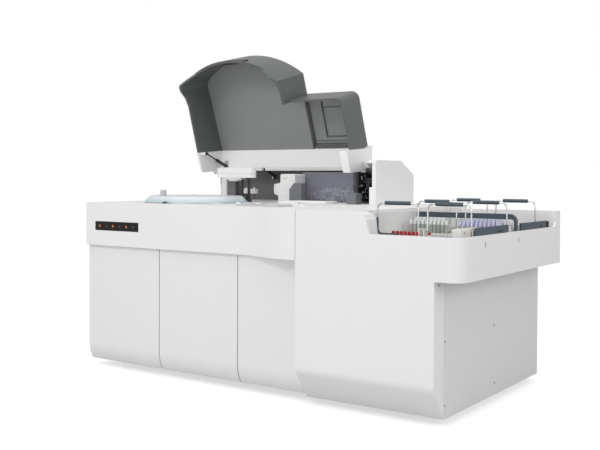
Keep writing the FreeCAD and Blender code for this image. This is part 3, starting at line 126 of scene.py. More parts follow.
def surface_group(name, stretch):
    """Cloudy colour, uneven roughness and a fine relief; stretch draws the grain out along X."""
    tree, enter, leave = new_group(name, [
        ("Color", "NodeSocketColor", (0.8, 0.8, 0.8, 1)), ("Shade", "NodeSocketFloat", 0.04),
        ("Roughness", "NodeSocketFloat", 0.4), ("Grain", "NodeSocketFloat", 900.0),
        ("Relief", "NodeSocketFloat", 0.1)],
        [("Color", "NodeSocketColor"), ("Roughness", "NodeSocketFloat"), ("Normal", "NodeSocketVector")])
    coords = tree.nodes.new("ShaderNodeTexCoord").outputs["Object"]
    mapping = tree.nodes.new("ShaderNodeMapping")
    mapping.inputs["Scale"].default_value = stretch
    tree.links.new(coords, mapping.inputs["Vector"])
    grain = noise(tree, mapping.outputs["Vector"], enter.outputs["Grain"], GRAIN_DETAIL)
    cloud = noise(tree, coords, CLOUD_SCALE, CLOUD_DETAIL)
    centred = math_node(tree, "SUBTRACT", cloud, 0.5)
    lift = math_node(tree, "MULTIPLY_ADD", centred, enter.outputs["Shade"], 1.0)
    tint = tree.nodes.new("ShaderNodeVectorMath")
    tint.operation = "SCALE"
    tree.links.new(enter.outputs["Color"], tint.inputs[0])
    tree.links.new(lift, tint.inputs["Scale"])
    rough = math_node(tree, "MULTIPLY_ADD", grain, GRAIN_SWING, enter.outputs["Roughness"])
    bump = tree.nodes.new("ShaderNodeBump")
    bump.inputs["Distance"].default_value = RELIEF_DEPTH
    tree.links.new(enter.outputs["Relief"], bump.inputs["Strength"])
    tree.links.new(grain, bump.inputs["Height"])
    tree.links.new(tint.outputs["Vector"], leave.inputs["Color"])
    tree.links.new(rough, leave.inputs["Roughness"])
    tree.links.new(bump.outputs["Normal"], leave.inputs["Normal"])
    return tree


MOULDED = surface_group("moulded_surface", (1.0, 1.0, 1.0))
BRUSHED = surface_group("brushed_surface", (0.05, 1.0, 1.0))
FINISHES = {}


def finish(name, color, rough, shade, grain, relief, metal=0.0, group=MOULDED, coat=0.0, alpha=1.0,
           glow=0.0, specular=0.5):
    look = bpy.data.materials.new(name)
    look.use_nodes = True
    tree = look.node_tree
    shader = tree.nodes["Principled BSDF"]
    detail = tree.nodes.new("ShaderNodeGroup")
    detail.node_tree = group
    detail.inputs["Color"].default_value = (*color, 1)
    for label, value in (("Shade", shade), ("Roughness", rough), ("Grain", grain), ("Relief", relief)):
        detail.inputs[label].default_value = value
    for source, socket in (("Color", "Base Color"), ("Roughness", "Roughness"), ("Normal", "Normal")):
        tree.links.new(detail.outputs[source], shader.inputs[socket])
    shader.inputs["Metallic"].default_value = metal
    shader.inputs["Coat Weight"].default_value = coat
    shader.inputs["Alpha"].default_value = alpha
    shader.inputs["Specular IOR Level"].default_value = specular
    if glow:
        shader.inputs["Emission Color"].default_value = (*color, 1)
        shader.inputs["Emission Strength"].default_value = glow
    look.diffuse_color = (*color, alpha)
    FINISHES[name] = look
    return look


# Each finish: colour, roughness, how cloudy its colour is, how fine its grain is, and its relief
finish("white_panel", (0.80, 0.80, 0.80), 0.42, 0.02, 700, 0.12, specular=0.35)
finish("white_plastic", (0.82, 0.82, 0.82), 0.40, 0.02, 900, 0.06, specular=0.35)
finish("side_panel", (0.74, 0.74, 0.74), 0.48, 0.02, 700, 0.14, specular=0.35)
finish("frame_steel", (0.30, 0.31, 0.32), 0.5, 0.06, 500, 0.2, metal=0.4)
finish("foot_rubber", (0.05, 0.05, 0.05), 0.7, 0.2, 600, 0.4)
finish("strip_black", (0.010, 0.010, 0.010), 0.5, 0.05, 900, 0.02, specular=0.3)
finish("lamp_amber", (0.42, 0.11, 0.03), 0.4, 0.05, 900, 0.02, glow=0.25, specular=0.3)
finish("lamp_rest", (0.07, 0.08, 0.08), 0.5, 0.05, 900, 0.02, specular=0.3)
finish("hood_grey", (0.116, 0.122, 0.120), 0.34, 0.05, 700, 0.10, coat=0.05)
finish("liner_grey", (0.262, 0.270, 0.266), 0.40, 0.04, 700, 0.08)
finish("smoke_window", (0.28, 0.29, 0.288), 0.14, 0.03, 900, 0.02, alpha=0.9)
finish("hood_white", (0.93, 0.93, 0.93), 0.42, 0.02, 700, 0.10, specular=0.3)
finish("back_grey", (0.13, 0.13, 0.13), 0.5, 0.08, 600, 0.15)
finish("column_grey", (0.17, 0.175, 0.175), 0.5, 0.06, 600, 0.15)
finish("bright_steel", (0.62, 0.63, 0.64), 0.28, 0.06, 900, 0.15, metal=1.0, group=BRUSHED)
finish("black_steel", (0.014, 0.014, 0.014), 0.34, 0.1, 600, 0.1)
finish("tank_plastic", (0.75, 0.77, 0.77), 0.4, 0.05, 500, 0.1)
finish("pump_grey", (0.38, 0.39, 0.41), 0.45, 0.06, 600, 0.15, metal=0.3)
finish("well_steel", (0.55, 0.56, 0.57), 0.3, 0.06, 900, 0.15, metal=1.0, group=BRUSHED)
finish("pack_white", (0.78, 0.79, 0.78), 0.4, 0.04, 800, 0.08)
finish("hopper_clear", (0.38, 0.39, 0.46), 0.14, 0.06, 60, 0.05, alpha=0.30)
finish("vessel_clear", (0.66, 0.70, 0.74), 0.25, 0.1, 300, 0.1)
finish("vessel_tan", (0.55, 0.36, 0.22), 0.35, 0.1, 300, 0.1)
finish("block_grey", (0.16, 0.165, 0.175), 0.4, 0.06, 700, 0.12)
finish("plate_grey", (0.52, 0.53, 0.53), 0.35, 0.05, 700, 0.08)
finish("carrier_cream", (0.74, 0.73, 0.68), 0.4, 0.04, 700, 0.1)
finish("rack_grey", (0.50, 0.52, 0.51), 0.4, 0.05, 700, 0.1)
finish("slate", (0.055, 0.082, 0.105), 0.42, 0.08, 700, 0.14)
finish("cap_red", (0.46, 0.026, 0.034), 0.35, 0.08, 600, 0.06)
finish("cap_lilac", (0.56, 0.56, 0.76), 0.35, 0.08, 600, 0.06)
finish("cap_pale", (0.78, 0.80, 0.79), 0.3, 0.06, 600, 0.04)
finish("tube_glass", (0.50, 0.54, 0.50), 0.12, 0.05, 400, 0.02, alpha=0.75)
finish("bail_chrome", (0.74, 0.75, 0.76), 0.22, 0.04, 900, 0.04, metal=1.0, group=BRUSHED)
# Near-black for real black parts, and for the painted shade laid where holes, slots, vents and pockets fall
# into shade
finish("dark_gap", (0.022, 0.022, 0.024), 0.6, 0.05, 500, 0.1)
finish("amber_dot", (0.60, 0.30, 0.06), 0.4, 0.05, 500, 0.05)
finish("screw_steel", (0.36, 0.37, 0.38), 0.35, 0.06, 900, 0.1, metal=1.0, group=BRUSHED)

LID_PALE, LID_TINT = (0.66, 0.70, 0.71), (0.34, 0.52, 0.56)
TINT_LOW, TINT_HIGH = 0.873, 0.896


def lid_finish():
    """The reagent disk's lid: pale moulding whose low rim takes on a blue-green tint."""
    look = finish("cover_clear", LID_PALE, 0.26, 0.03, 900, 0.03, coat=0.2)
    tree = look.node_tree
    split = tree.nodes.new("ShaderNodeSeparateXYZ")
    tree.links.new(tree.nodes.new("ShaderNodeTexCoord").outputs["Object"], split.inputs[0])
    height = tree.nodes.new("ShaderNodeMapRange")
    height.inputs["From Min"].default_value = TINT_LOW
    height.inputs["From Max"].default_value = TINT_HIGH
    tree.links.new(split.outputs["Z"], height.inputs["Value"])
    # A colour mix takes its two colours at inputs 6 and 7, and gives the result at output 2
    tint = tree.nodes.new("ShaderNodeMix")
    tint.data_type = "RGBA"
    tint.inputs[6].default_value = (*LID_TINT, 1)
    tint.inputs[7].default_value = (*LID_PALE, 1)
    tree.links.new(height.outputs["Result"], tint.inputs["Factor"])
    detail = next(node for node in tree.nodes if node.bl_idname == "ShaderNodeGroup")
    tree.links.new(tint.outputs[2], detail.inputs["Color"])


lid_finish()

# Every CAD node takes the finish of its slot, and the hood's rear moulding a whiter one
LOOK_OF = {entry["node"]: entry["material_slot"] for entry in frame["record"]["subparts"]}
LOOK_OF["hood_rear_frame"] = "hood_white"
for node_name, node in frame["nodes"].items():
    node.data.materials.clear()
    node.data.materials.append(FINISHES[LOOK_OF[node_name]])


# Shapes that pieces are built from, in millimetres
def paint(verts, index):
    """Gives the faces at these points one of their piece's looks."""
    for face in {face for vert in verts for face in vert.link_faces}:
        face.material_index = index


def block(bm, low, high, index=0):
    low, high = Vector(low), Vector(high)
    where = Matrix.Translation((low + high) / 2) @ Matrix.Diagonal((*(high - low), 1))
    made = bmesh.ops.create_cube(bm, size=1.0, matrix=where)["verts"]
    paint(made, index)
    return made


def rod(bm, start, end, radius, sides, taper=1.0):
    start, end = Vector(start), Vector(end)
    turn = (end - start).to_track_quat("Z", "Y").to_matrix().to_4x4()
    return bmesh.ops.create_cone(
        bm, cap_ends=True, segments=sides, radius1=radius, radius2=radius * taper,
        depth=(end - start).length, matrix=Matrix.Translation((start + end) / 2) @ turn)["verts"]


def sink(bm, verts, direction, wall, depth):
    """Sinks the end face that looks along the direction, leaving a rim as wide as the wall."""
    bm.normal_update()
    ends = {face for vert in verts for face in vert.link_faces if face.normal.dot(direction) > 0.99}
    bmesh.ops.inset_region(bm, faces=list(ends), thickness=wall, use_even_offset=True)
    bmesh.ops.translate(bm, verts=list({v for face in ends for v in face.verts}), vec=-direction * depth)


def cup(bm, start, end, radius, sides, wall, depth, taper=1.0):
    """A rod that is sunk at its far end."""
    verts = rod(bm, start, end, radius, sides, taper)
    sink(bm, verts, (Vector(end) - Vector(start)).normalized(), wall, depth)


def blocks(*corners):
    """A new bmesh of blocks, each given by its low and its high corner."""
    bm = bmesh.new()
    for low, high in corners:
        block(bm, low, high)
    return bm


def rods(*lines):
    """A new bmesh of rods, each given by its start, end, radius and sides, and a taper if it has one."""
    bm = bmesh.new()
    for line in lines:
        rod(bm, *line)
    return bm


def ring_spots(x, y, radius, count, first=0.0):
    """Points spread evenly round a circle, from the first angle in degrees."""
    turns = [math.radians(first + 360 * k / count) for k in range(count)]
    return [(x + radius * math.cos(turn), y + radius * math.sin(turn)) for turn in turns]


SHARP_EDGE = math.radians(38)


def make(name, bm, looks, body="cabinet", place=UNIT, bevel=0.0, segments=2, instead_of=None):
    """Turns a bmesh in millimetres into a named piece that rides on its body."""
    looks = [looks] if isinstance(looks, str) else looks
    bmesh.ops.transform(bm, matrix=place, verts=bm.verts)
    bmesh.ops.recalc_face_normals(bm, faces=bm.faces)
    mesh = bpy.data.meshes.new(name)
    bm.to_mesh(mesh)
    bm.free()
    for face in mesh.polygons:
        face.use_smooth = True
    mesh.set_sharp_from_angle(angle=SHARP_EDGE)
    for look in looks:
        mesh.materials.append(FINISHES[look])
    piece = bpy.data.objects.new(name, mesh)
    bpy.context.scene.collection.objects.link(piece)
    if bevel:
        edges = piece.modifiers.new("edges", "BEVEL")
        edges.width = bevel * MM
        edges.segments = segments
        edges.limit_method = "ANGLE"
    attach(piece, body)
    if instead_of:
        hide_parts(instead_of)


# Carrier bails: bent wire with a ribbed slate grip. Each stands at the middle of its carrier.
BAILS = {"one": (1813, 176), "two": (2053, 176), "three": (1813, 553), "four": (2053, 553),
         "five": (1813, 903), "six": (2053, 903)}
BAIL_HALF, BAIL_RISE, BAIL_ROUND = 98.0, 113.0, 26.0
BAIL_PIVOT, BAIL_FOOT = 786.0, 8.0
WIRE_RADIUS, WIRE_SIDES, BEND_STEPS = 3.6, 12, 8
PIN_REACH, PIN_RADIUS = 111.0, 2.2
GRIP_HALF, GRIP_RADIUS, GRIP_SIDES = 60.0, 8.4, 24
RIB_PITCH, RIB_HALF, RIB_RADIUS = 10.0, 1.5, 8.9


def wire_start(bm, spot):
    made = bmesh.ops.create_circle(bm, cap_ends=True, segments=WIRE_SIDES, radius=WIRE_RADIUS,
                                   matrix=Matrix.Translation(spot))["verts"]
    return next(iter(made[0].link_faces))


def wire_run(bm, tip, move):
    made = bmesh.ops.extrude_face_region(bm, geom=[tip])["geom"]
    bmesh.ops.translate(bm, verts=[item for item in made if isinstance(item, bmesh.types.BMVert)], vec=move)
    return next(item for item in made if isinstance(item, bmesh.types.BMFace))


def wire_bend(bm, tip, centre):
    """A quarter turn in the plane of the bail."""
    made = bmesh.ops.spin(bm, geom=[tip], cent=centre, axis=(0, 1, 0), angle=math.radians(90),
                          steps=BEND_STEPS, use_duplicate=False)["geom_last"]
    return next(item for item in made if isinstance(item, bmesh.types.BMFace))


def bail(tag, x, y):
    leg = BAIL_FOOT + BAIL_RISE - BAIL_ROUND
    bend = BAIL_PIVOT + BAIL_RISE - BAIL_ROUND
    flat = BAIL_HALF - BAIL_ROUND
    top = BAIL_PIVOT + BAIL_RISE
    bm = bmesh.new()
    tip = wire_start(bm, (x - BAIL_HALF, y, BAIL_PIVOT - BAIL_FOOT))
    tip = wire_run(bm, tip, (0, 0, leg))
    tip = wire_bend(bm, tip, (x - flat, y, bend))
    tip = wire_run(bm, tip, (2 * flat, 0, 0))
    tip = wire_bend(bm, tip, (x + flat, y, bend))
    wire_run(bm, tip, (0, 0, -leg))
    for side in (-1, 1):
        rod(bm, (x + side * BAIL_HALF, y, BAIL_PIVOT), (x + side * PIN_REACH, y, BAIL_PIVOT), PIN_RADIUS,
            WIRE_SIDES)
    make("bail_wire_" + tag, bm, "bail_chrome", "bail_" + tag, instead_of="bail_" + tag)
    bm = rods(((x - GRIP_HALF, y, top), (x + GRIP_HALF, y, top), GRIP_RADIUS, GRIP_SIDES))
    for side in (-1, 1):
        end = x + side * GRIP_HALF
        rod(bm, (end, y, top), (end + side * 2, y, top), GRIP_RADIUS, GRIP_SIDES, taper=0.75)
    for k in range(-5, 6):
        rib = x + k * RIB_PITCH
        rod(bm, (rib - RIB_HALF, y, top), (rib + RIB_HALF, y, top), RIB_RADIUS, GRIP_SIDES)
    make("bail_grip_" + tag, bm, "slate", "bail_" + tag)


# Sample tubes: stepped, dished caps over clear tubes, in the racks that the carriers hold
TUBE_PITCH, RACK_PITCH, RACK_SHIFT = 19.5, 52.0, 10.0
PLACES, RACKS = range(10), range(-2, 3)
TUBE_RADIUS, MOUTH_RADIUS = 6.4, 7.4
CAP_RADIUS, CAP_HIGH = 7.8, 17
RED_CAP_RADIUS, RED_CAP_HIGH = 8.2, 16
SKIRT_SHARE, NECK_SHARE, NECK_TAPER = 0.55, 0.93, 0.96
RIM_SHARE, DISH_DEEP, CAP_SIDES = 0.22, 2.0, 14


def tube_spot(tag, rack, place):
    """Where a tube stands in a carrier, whose racks are counted from its middle one."""
    x, y = BAILS[tag]
    return x + RACK_SHIFT + (place - 4.5) * TUBE_PITCH, y + rack * RACK_PITCH


def tube_cap(bm, x, y, low, high, radius):
    """A cap whose upper part is drawn in and dished."""
    step = low + (high - low) * SKIRT_SHARE
    rod(bm, (x, y, low), (x, y, step), radius, CAP_SIDES)
    cup(bm, (x, y, step), (x, y, high), radius * NECK_SHARE, CAP_SIDES, radius * RIM_SHARE, DISH_DEEP,
        NECK_TAPER)


def red_caps():
    bm = bmesh.new()
    for place in PLACES:
        tube_cap(bm, *tube_spot("one", 2, place), RACK_TOP, RACK_TOP + RED_CAP_HIGH, RED_CAP_RADIUS)
    make("red_caps", bm, "cap_red", instead_of="tube_caps")


def tube_row(name, tag, rack, cap_look, cap_top, empty=()):
    """The capped tubes of one rack, all its places full but the empty ones."""
    caps, tubes = bmesh.new(), bmesh.new()
    for place in PLACES:
        if place in empty:
            continue
        x, y = tube_spot(tag, rack, place)
        rod(tubes, (x, y, RACK_TOP), (x, y, cap_top - CAP_HIGH + 1), TUBE_RADIUS, 12)
        tube_cap(caps, x, y, cap_top - CAP_HIGH, cap_top, CAP_RADIUS)
    make(name + "_caps", caps, cap_look)
    make(name + "_tubes", tubes, "tube_glass")


def tube_mouth_shade():
    """Painted shade: dark discs on the rack tops where the mouths of the racks' places lie in shade."""
    bm = bmesh.new()
    for tag in BAILS:
        for rack in RACKS:
            for place in PLACES:
                x, y = tube_spot(tag, rack, place)
                rod(bm, (x, y, RACK_TOP - 0.5), (x, y, RACK_TOP + 0.6), MOUTH_RADIUS, 12)
    make("rack_mouth_painted_shade", bm, "dark_gap")


# A cream calibrator tray lies on the front right racks
TRAY_LOW, TRAY_HIGH = (2118, 61, RACK_TOP), (2156, 251, 804)
TRAY_MOUTHS, TRAY_MOUTH_X = (95, 135, 175, 215), 2137


def calibrator():
    make("calibrator_tray", blocks((TRAY_LOW, TRAY_HIGH)), "carrier_cream", bevel=3.0, segments=3)
    hole = rods(((2155.5, 100, 789), (2156.8, 100, 789), 5.5, 20))
    make("calibrator_hole", hole, "vessel_tan")
    bm = bmesh.new()
    for y in TRAY_MOUTHS:
        cup(bm, (TRAY_MOUTH_X, y, 802), (TRAY_MOUTH_X, y, 806), 12, 20, 3, 3)
    make("calibrator_mouths", bm, "rack_grey")


# Sample tray: the seal along its left wall, the slots of its side bars drawn as dark strips of painted
# shade, and its catches
BAR_FACE, TRAY_FACE = 2180.6, 2192.0
CATCHES = (224, 587)


def tray_details():
    make("tray_edge_seal", blocks(((1680.3, 216, 847.5), (1687.9, 1150, 853))), "white_plastic")
    # The slots are dark blocks of painted shade on the faces of the side bars
    slots = blocks(((BAR_FACE, 372, 780), (BAR_FACE + 1.2, 440, 786)),
                   ((BAR_FACE, 892, 780), (BAR_FACE + 1.2, 925, 786)),
                   ((2170, 990, 760), (2182, 1004, 803)))
    make("side_bar_slot_painted_shade", slots, "dark_gap", bevel=0.5)
    catches = blocks(*(((TRAY_FACE, y - 4, 726), (TRAY_FACE + 1.3, y + 4, 748)) for y in CATCHES))
    make("tray_side_catches", catches, "screw_steel", bevel=0.4)


# Screws of the panels. Those of the left side and the rear are almost flush.
MODULE_SCREWS = ((99, 346), (103, 84), (609, 346), (615, 85), (42, 579))
LEFT_SCREWS = ((300, 1080), (110, 480, 820))
UNIT_REAR_SCREWS = ((40, 700, 1360), (110, 440, 820))
MODULE_REAR_SCREWS = ((1450, 2020), (110, 540))
FLUSH = 0.4
SCREW_SINK, SCREW_SIDES, SCREW_TAPER = 0.5, 18, 0.86
SOCKET_WALL, SOCKET_DEEP = 0.42, 0.6


def screw(bm, spot, outward, radius=5.0, proud=2.0):
    """A screw head with a round socket, whose wall and depth are shares of its radius and height."""
    spot, outward = Vector(spot), Vector(outward)
    cup(bm, spot - outward * SCREW_SINK, spot + outward * proud, radius, SCREW_SIDES,
        radius * SOCKET_WALL, proud * SOCKET_DEEP, SCREW_TAPER)


def panel_screws():
    bm = bmesh.new()
    for y, z in MODULE_SCREWS:
        screw(bm, (MODULE_SIDE, y, z), (1, 0, 0))
    rows, heights = LEFT_SCREWS
    for y in rows:
        for z in heights:
            screw(bm, (0, y, z), (-1, 0, 0), proud=FLUSH)
    for columns, heights in (UNIT_REAR_SCREWS, MODULE_REAR_SCREWS):
        for x in columns:
            for z in heights:
                screw(bm, (x, BACK, z), (0, 1, 0), proud=FLUSH)
    make("panel_screws", bm, "screw_steel")


# Front band: the grey seal in its joint with the sample module, and its run lamps. Every second
# lamp of the six is lit, and the lit ones are the CAD's own.
LAMP_FIRST, LAMP_PITCH, LAMP_HIGH = 105, 48.5, 748.5


def lamp_line(k, back, front):
    """Start and end of a lamp that is let into the strip."""
    x = LAMP_FIRST + LAMP_PITCH * k
    return (x, STRIP_FACE + back, LAMP_HIGH), (x, STRIP_FACE - front, LAMP_HIGH)


def front_details():
    make("front_joint_seal", blocks(((1401.6, -0.4, 646), (1404.0, 3, 864.6))), "pump_grey")
    unlit = rods(*((*lamp_line(k, 0.2, 0.6), 6.0, 24) for k in (1, 3, 5)))
    make("run_lamps_out", unlit, "lamp_rest")
    bm = bmesh.new()
    for k in range(6):
        cup(bm, *lamp_line(k, 0.1, 0.8), 9.0, 28, 1.4, 0.7)
    make("run_lamp_rims", bm, "strip_black")


# Reagent disk: its latch, and the ribbed knob and the screws of its lid
DISK_X, DISK_Y, LID_TOP = 452, 433, 906
KNOB_X, KNOB_Y, KNOB_RADIUS, KNOB_HIGH, KNOB_RIBS = 413, 220, 15, 32, 12
LID_SCREWS, LID_SCREW_RING, LID_SCREW_RADIUS = 6, 225, 5.5


def disk_details():
    make("disk_latch", blocks(((484, 134, 872), (502, 154, 881))), "slate", bevel=2.5, segments=3)
    bm = rods(((KNOB_X, KNOB_Y, LID_TOP), (KNOB_X, KNOB_Y, LID_TOP + KNOB_HIGH), KNOB_RADIUS, 28))
    for x, y in ring_spots(KNOB_X, KNOB_Y, KNOB_RADIUS - 0.4, KNOB_RIBS):
        rod(bm, (x, y, LID_TOP + 6), (x, y, LID_TOP + 26), 2.2, 8)
    make("lid_knob", bm, "plate_grey", bevel=1.5, instead_of="cover_knob")
    bm = bmesh.new()
    for x, y in ring_spots(DISK_X, DISK_Y, LID_SCREW_RING, LID_SCREWS, first=15):
        screw(bm, (x, y, LID_TOP), (0, 0, 1), LID_SCREW_RADIUS)
    make("lid_screws", bm, "screw_steel")


# Pipetting arm: seam, caps, belly and probe sleeves. Washing arm: caps.
ARM_X, ARM_Y, ARM_LOW, ARM_TOP = 600, 700, 1003, 1055
PROBES = (444, 402)
WASH_X, WASH_Y, WASH_TOP, NEEDLE_X = 428, 900, 939, 483


def arm_details():
    seam = blocks(((ARM_X - 214, ARM_Y - 28.4, 1026), (ARM_X + 40, ARM_Y + 28.4, 1027.5)))
    make("arm_seam", seam, "rack_grey", "arm_swing", bevel=0.3)
    low = ARM_TOP - 0.5
    caps = rods(((ARM_X, ARM_Y, low), (ARM_X, ARM_Y, ARM_TOP + 5), 17, 28, 0.85),
                *(((x, ARM_Y, low), (x, ARM_Y, ARM_TOP + 6), 7, 20) for x in PROBES))
    make("arm_caps", caps, "white_plastic", "arm_swing", bevel=1.0)
    belly = blocks(((430, ARM_Y - 24, ARM_LOW - 11), (560, ARM_Y + 24, ARM_LOW + 0.5)),
                   ((470, ARM_Y - 20, ARM_LOW - 19), (530, ARM_Y + 20, ARM_LOW - 10)))
    make("arm_belly", belly, "white_plastic", "arm_swing", bevel=4.0, segments=3)
    sleeves = rods(*(((x, ARM_Y, ARM_LOW - 41), (x, ARM_Y, ARM_LOW), 3.2, 14) for x in PROBES))
    make("probe_sleeves", sleeves, "rack_grey", "arm_swing")
    low = WASH_TOP - 0.5
    caps = rods(((WASH_X, WASH_Y, low), (WASH_X, WASH_Y, WASH_TOP + 5), 11, 24, 0.85),
                ((NEEDLE_X, WASH_Y, low), (NEEDLE_X, WASH_Y, WASH_TOP + 9), 5, 18))
    make("wash_caps", caps, "white_plastic", "wash_arm", bevel=0.8)


# Measuring unit: raised panels and three amber marks on its face, and vents in its side drawn as dark
# strips of painted shade. A panel is given by its left, low, right and high edges, a mark by its middle.
UNIT_PANELS = ((720, 982, 770, 1016), (778, 982, 804, 1016), (720, 930, 806, 974), (704, 878, 804, 914))
UNIT_MARKS = ((739, 1000), (686, 907), (752, 1000))
UNIT_VENTS, VENT_FACE = (930, 950, 970), 811.2


def unit_details():
    panels = blocks(*(((left, UNIT_FACE - 0.8, low), (right, UNIT_FACE + 0.4, high))
                      for left, low, right, high in UNIT_PANELS))
    make("unit_panels", panels, "white_panel", bevel=1.0)
    marks = rods(*(((x, UNIT_FACE + 0.5, z), (x, UNIT_FACE - 1.4, z), 3.6, 20) for x, z in UNIT_MARKS))
    make("unit_marks", marks, "amber_dot")
    # The vents are dark strips of painted shade on the unit's side
    vents = blocks(*(((VENT_FACE, 850, z), (VENT_FACE + 1, 930, z + 3)) for z in UNIT_VENTS))
    make("unit_vent_painted_shade", vents, "dark_gap")


# Clear hopper: a heap of loose reaction vessels, highest in the middle, and the hopper's rim
HOPPER_X, HOPPER_Y, HOPPER_WIDE, HOPPER_DEEP = 786, 950, 336, 150
RIM_LOW, RIM_TOP, RIM_OUT, RIM_WIDE, LEAST_OPENING = 1029, 1035, 4, 4.2, 40000
HEAP_X, HEAP_Y, HEAP_FLOOR, HEAP_COUNT = (806, 1106), (972, 1080), 886, 260
HEAP_EDGE, HEAP_SWELL, HEAP_SLOPE = 905, 32, 0.12
VESSEL_LONG, VESSEL_TIP, VESSEL_MOUTH, TAN_BEFORE = 22, 3.6, 5.0, 850


def loose_vessels():
    bm = bmesh.new()
    for k in range(HEAP_COUNT):
        x = random.uniform(*HEAP_X)
        y = random.uniform(*HEAP_Y)
        swell = HEAP_SWELL * math.sin((x - HOPPER_X) / HOPPER_WIDE * math.pi)
        z = random.uniform(HEAP_FLOOR, HEAP_EDGE + swell + (y - HOPPER_Y) * HEAP_SLOPE)
        lean = Matrix.Rotation(random.uniform(0, math.pi), 4, random.choice("XY"))
        spin = Matrix.Rotation(random.uniform(0, math.pi), 4, "Z")
        made = bmesh.ops.create_cone(
            bm, cap_ends=True, segments=8, radius1=VESSEL_TIP, radius2=VESSEL_MOUTH, depth=VESSEL_LONG,
            matrix=Matrix.Translation((x, y, z)) @ spin @ lean)["verts"]
        paint(made, 1 if x < TAN_BEFORE and random.random() < 0.5 else 0)
    make("loose_vessels", bm, ["vessel_clear", "vessel_tan"], instead_of="hopper_vessels")


def hopper_rim():
    """A slab round the hopper's top, opened by joining the inset of its top to that of its underside."""
    bm = blocks(((HOPPER_X - RIM_OUT, HOPPER_Y - RIM_OUT, RIM_LOW),
                 (HOPPER_X + HOPPER_WIDE + RIM_OUT, HOPPER_Y + HOPPER_DEEP + RIM_OUT, RIM_TOP)))
    top = [face for face in bm.faces if abs(face.calc_center_median().z - RIM_TOP) < 0.1]
    low = [face for face in bm.faces if abs(face.calc_center_median().z - RIM_LOW) < 0.1]
    bmesh.ops.inset_region(bm, faces=top + low, thickness=RIM_WIDE, use_even_offset=True)
    inner = [face for face in bm.faces if abs(face.normal.z) > 0.9 and face.calc_area() > LEAST_OPENING]
    bmesh.ops.bridge_loops(bm, edges=[edge for face in inner for edge in face.edges])
    bmesh.ops.delete(bm, geom=inner, context="FACES_ONLY")
    make("hopper_rim", bm, "hopper_clear")


# Vessel gantry in the tower: posts, a rail, small fittings along its left plate, and the carriage
GANTRY_POSTS, POSTS_Y, POSTS_LOW, POSTS_TOP = (1226, 1262, 1318), 1020, 884, 1020
GANTRY_PLATE, FITTINGS, FITTINGS_Y, FITTINGS_Z = (1211, 1215), 34, (852, 960), (884, 1016)


def gantry():
    bm = rods(*(((x, POSTS_Y, POSTS_LOW), (x, POSTS_Y, POSTS_TOP), 3.5, 12) for x in GANTRY_POSTS))
    rod(bm, (1214, 1000, 905), (1338, 1000, 905), 5, 14)
    near, far = GANTRY_PLATE
    for k in range(FITTINGS):
        y, z = random.uniform(*FITTINGS_Y), random.uniform(*FITTINGS_Z)
        deep, high = random.uniform(2, 7), random.uniform(2, 9)
        block(bm, (near, y, z), (far, y + deep, z + high), random.choice((0, 1)))
    make("gantry_fittings", bm, ["bright_steel", "white_plastic"], bevel=0.6)
    carriage = blocks(((1226, 892, 975), (1300, 926, 1004)), ((1240, 880, 950), (1262, 900, 976)))
    make("gantry_carriage", carriage, "black_steel", bevel=2.0)


# Worktop: ringed ports, two low blocks, a row of wells in one of them drawn as dark discs of painted shade,
# and a socket at the back
DECK_PORTS = ((750, 420), (910, 380), (1055, 300), (1110, 420), (1210, 330))
WELL_BLOCK_TOP, WELL_ROW, WELLS = DECK + 14, 700, range(900, 1120, 24)


def deck_details():
    bm = bmesh.new()
    for x, y in DECK_PORTS:
        cup(bm, (x, y, DECK), (x, y, DECK + 8), 13, 24, 3.5, 5)
    make("deck_ports", bm, "white_plastic", bevel=0.6)
    bm = blocks(((880, 640, DECK), (1140, 760, WELL_BLOCK_TOP)), ((900, 560, DECK), (1000, 620, DECK + 10)))
    make("deck_blocks", bm, "white_plastic", bevel=4.0, segments=3)
    # The wells are dark discs of painted shade on the block's top
    wells = rods(*(((x, WELL_ROW, WELL_BLOCK_TOP - 0.5), (x, WELL_ROW, WELL_BLOCK_TOP + 0.8), 7, 16)
                   for x in WELLS))
    make("deck_well_painted_shade", wells, "dark_gap")
    make("bay_socket", blocks(((172, 1122, 888), (216, 1146, 904))), "dark_gap", bevel=2.0)


# Hood, drawn closed and from its hinge: a dark block of painted shade in the pocket behind the finger grip,
# and in its bay an inner panel framed round the window, with the ribs and the step moulded on it
PANEL_LEFT, PANEL_RIGHT, PANEL_FRONT, PANEL_REAR = 686, 960, -404, -128
OPENING_LEFT, OPENING_RIGHT, OPENING_FRONT, OPENING_REAR = 768, 914, -397, -170
PANEL_LOW, PANEL_TOP, RIB_LOW, RIB_TOP = 104, 110.6, 102, 105


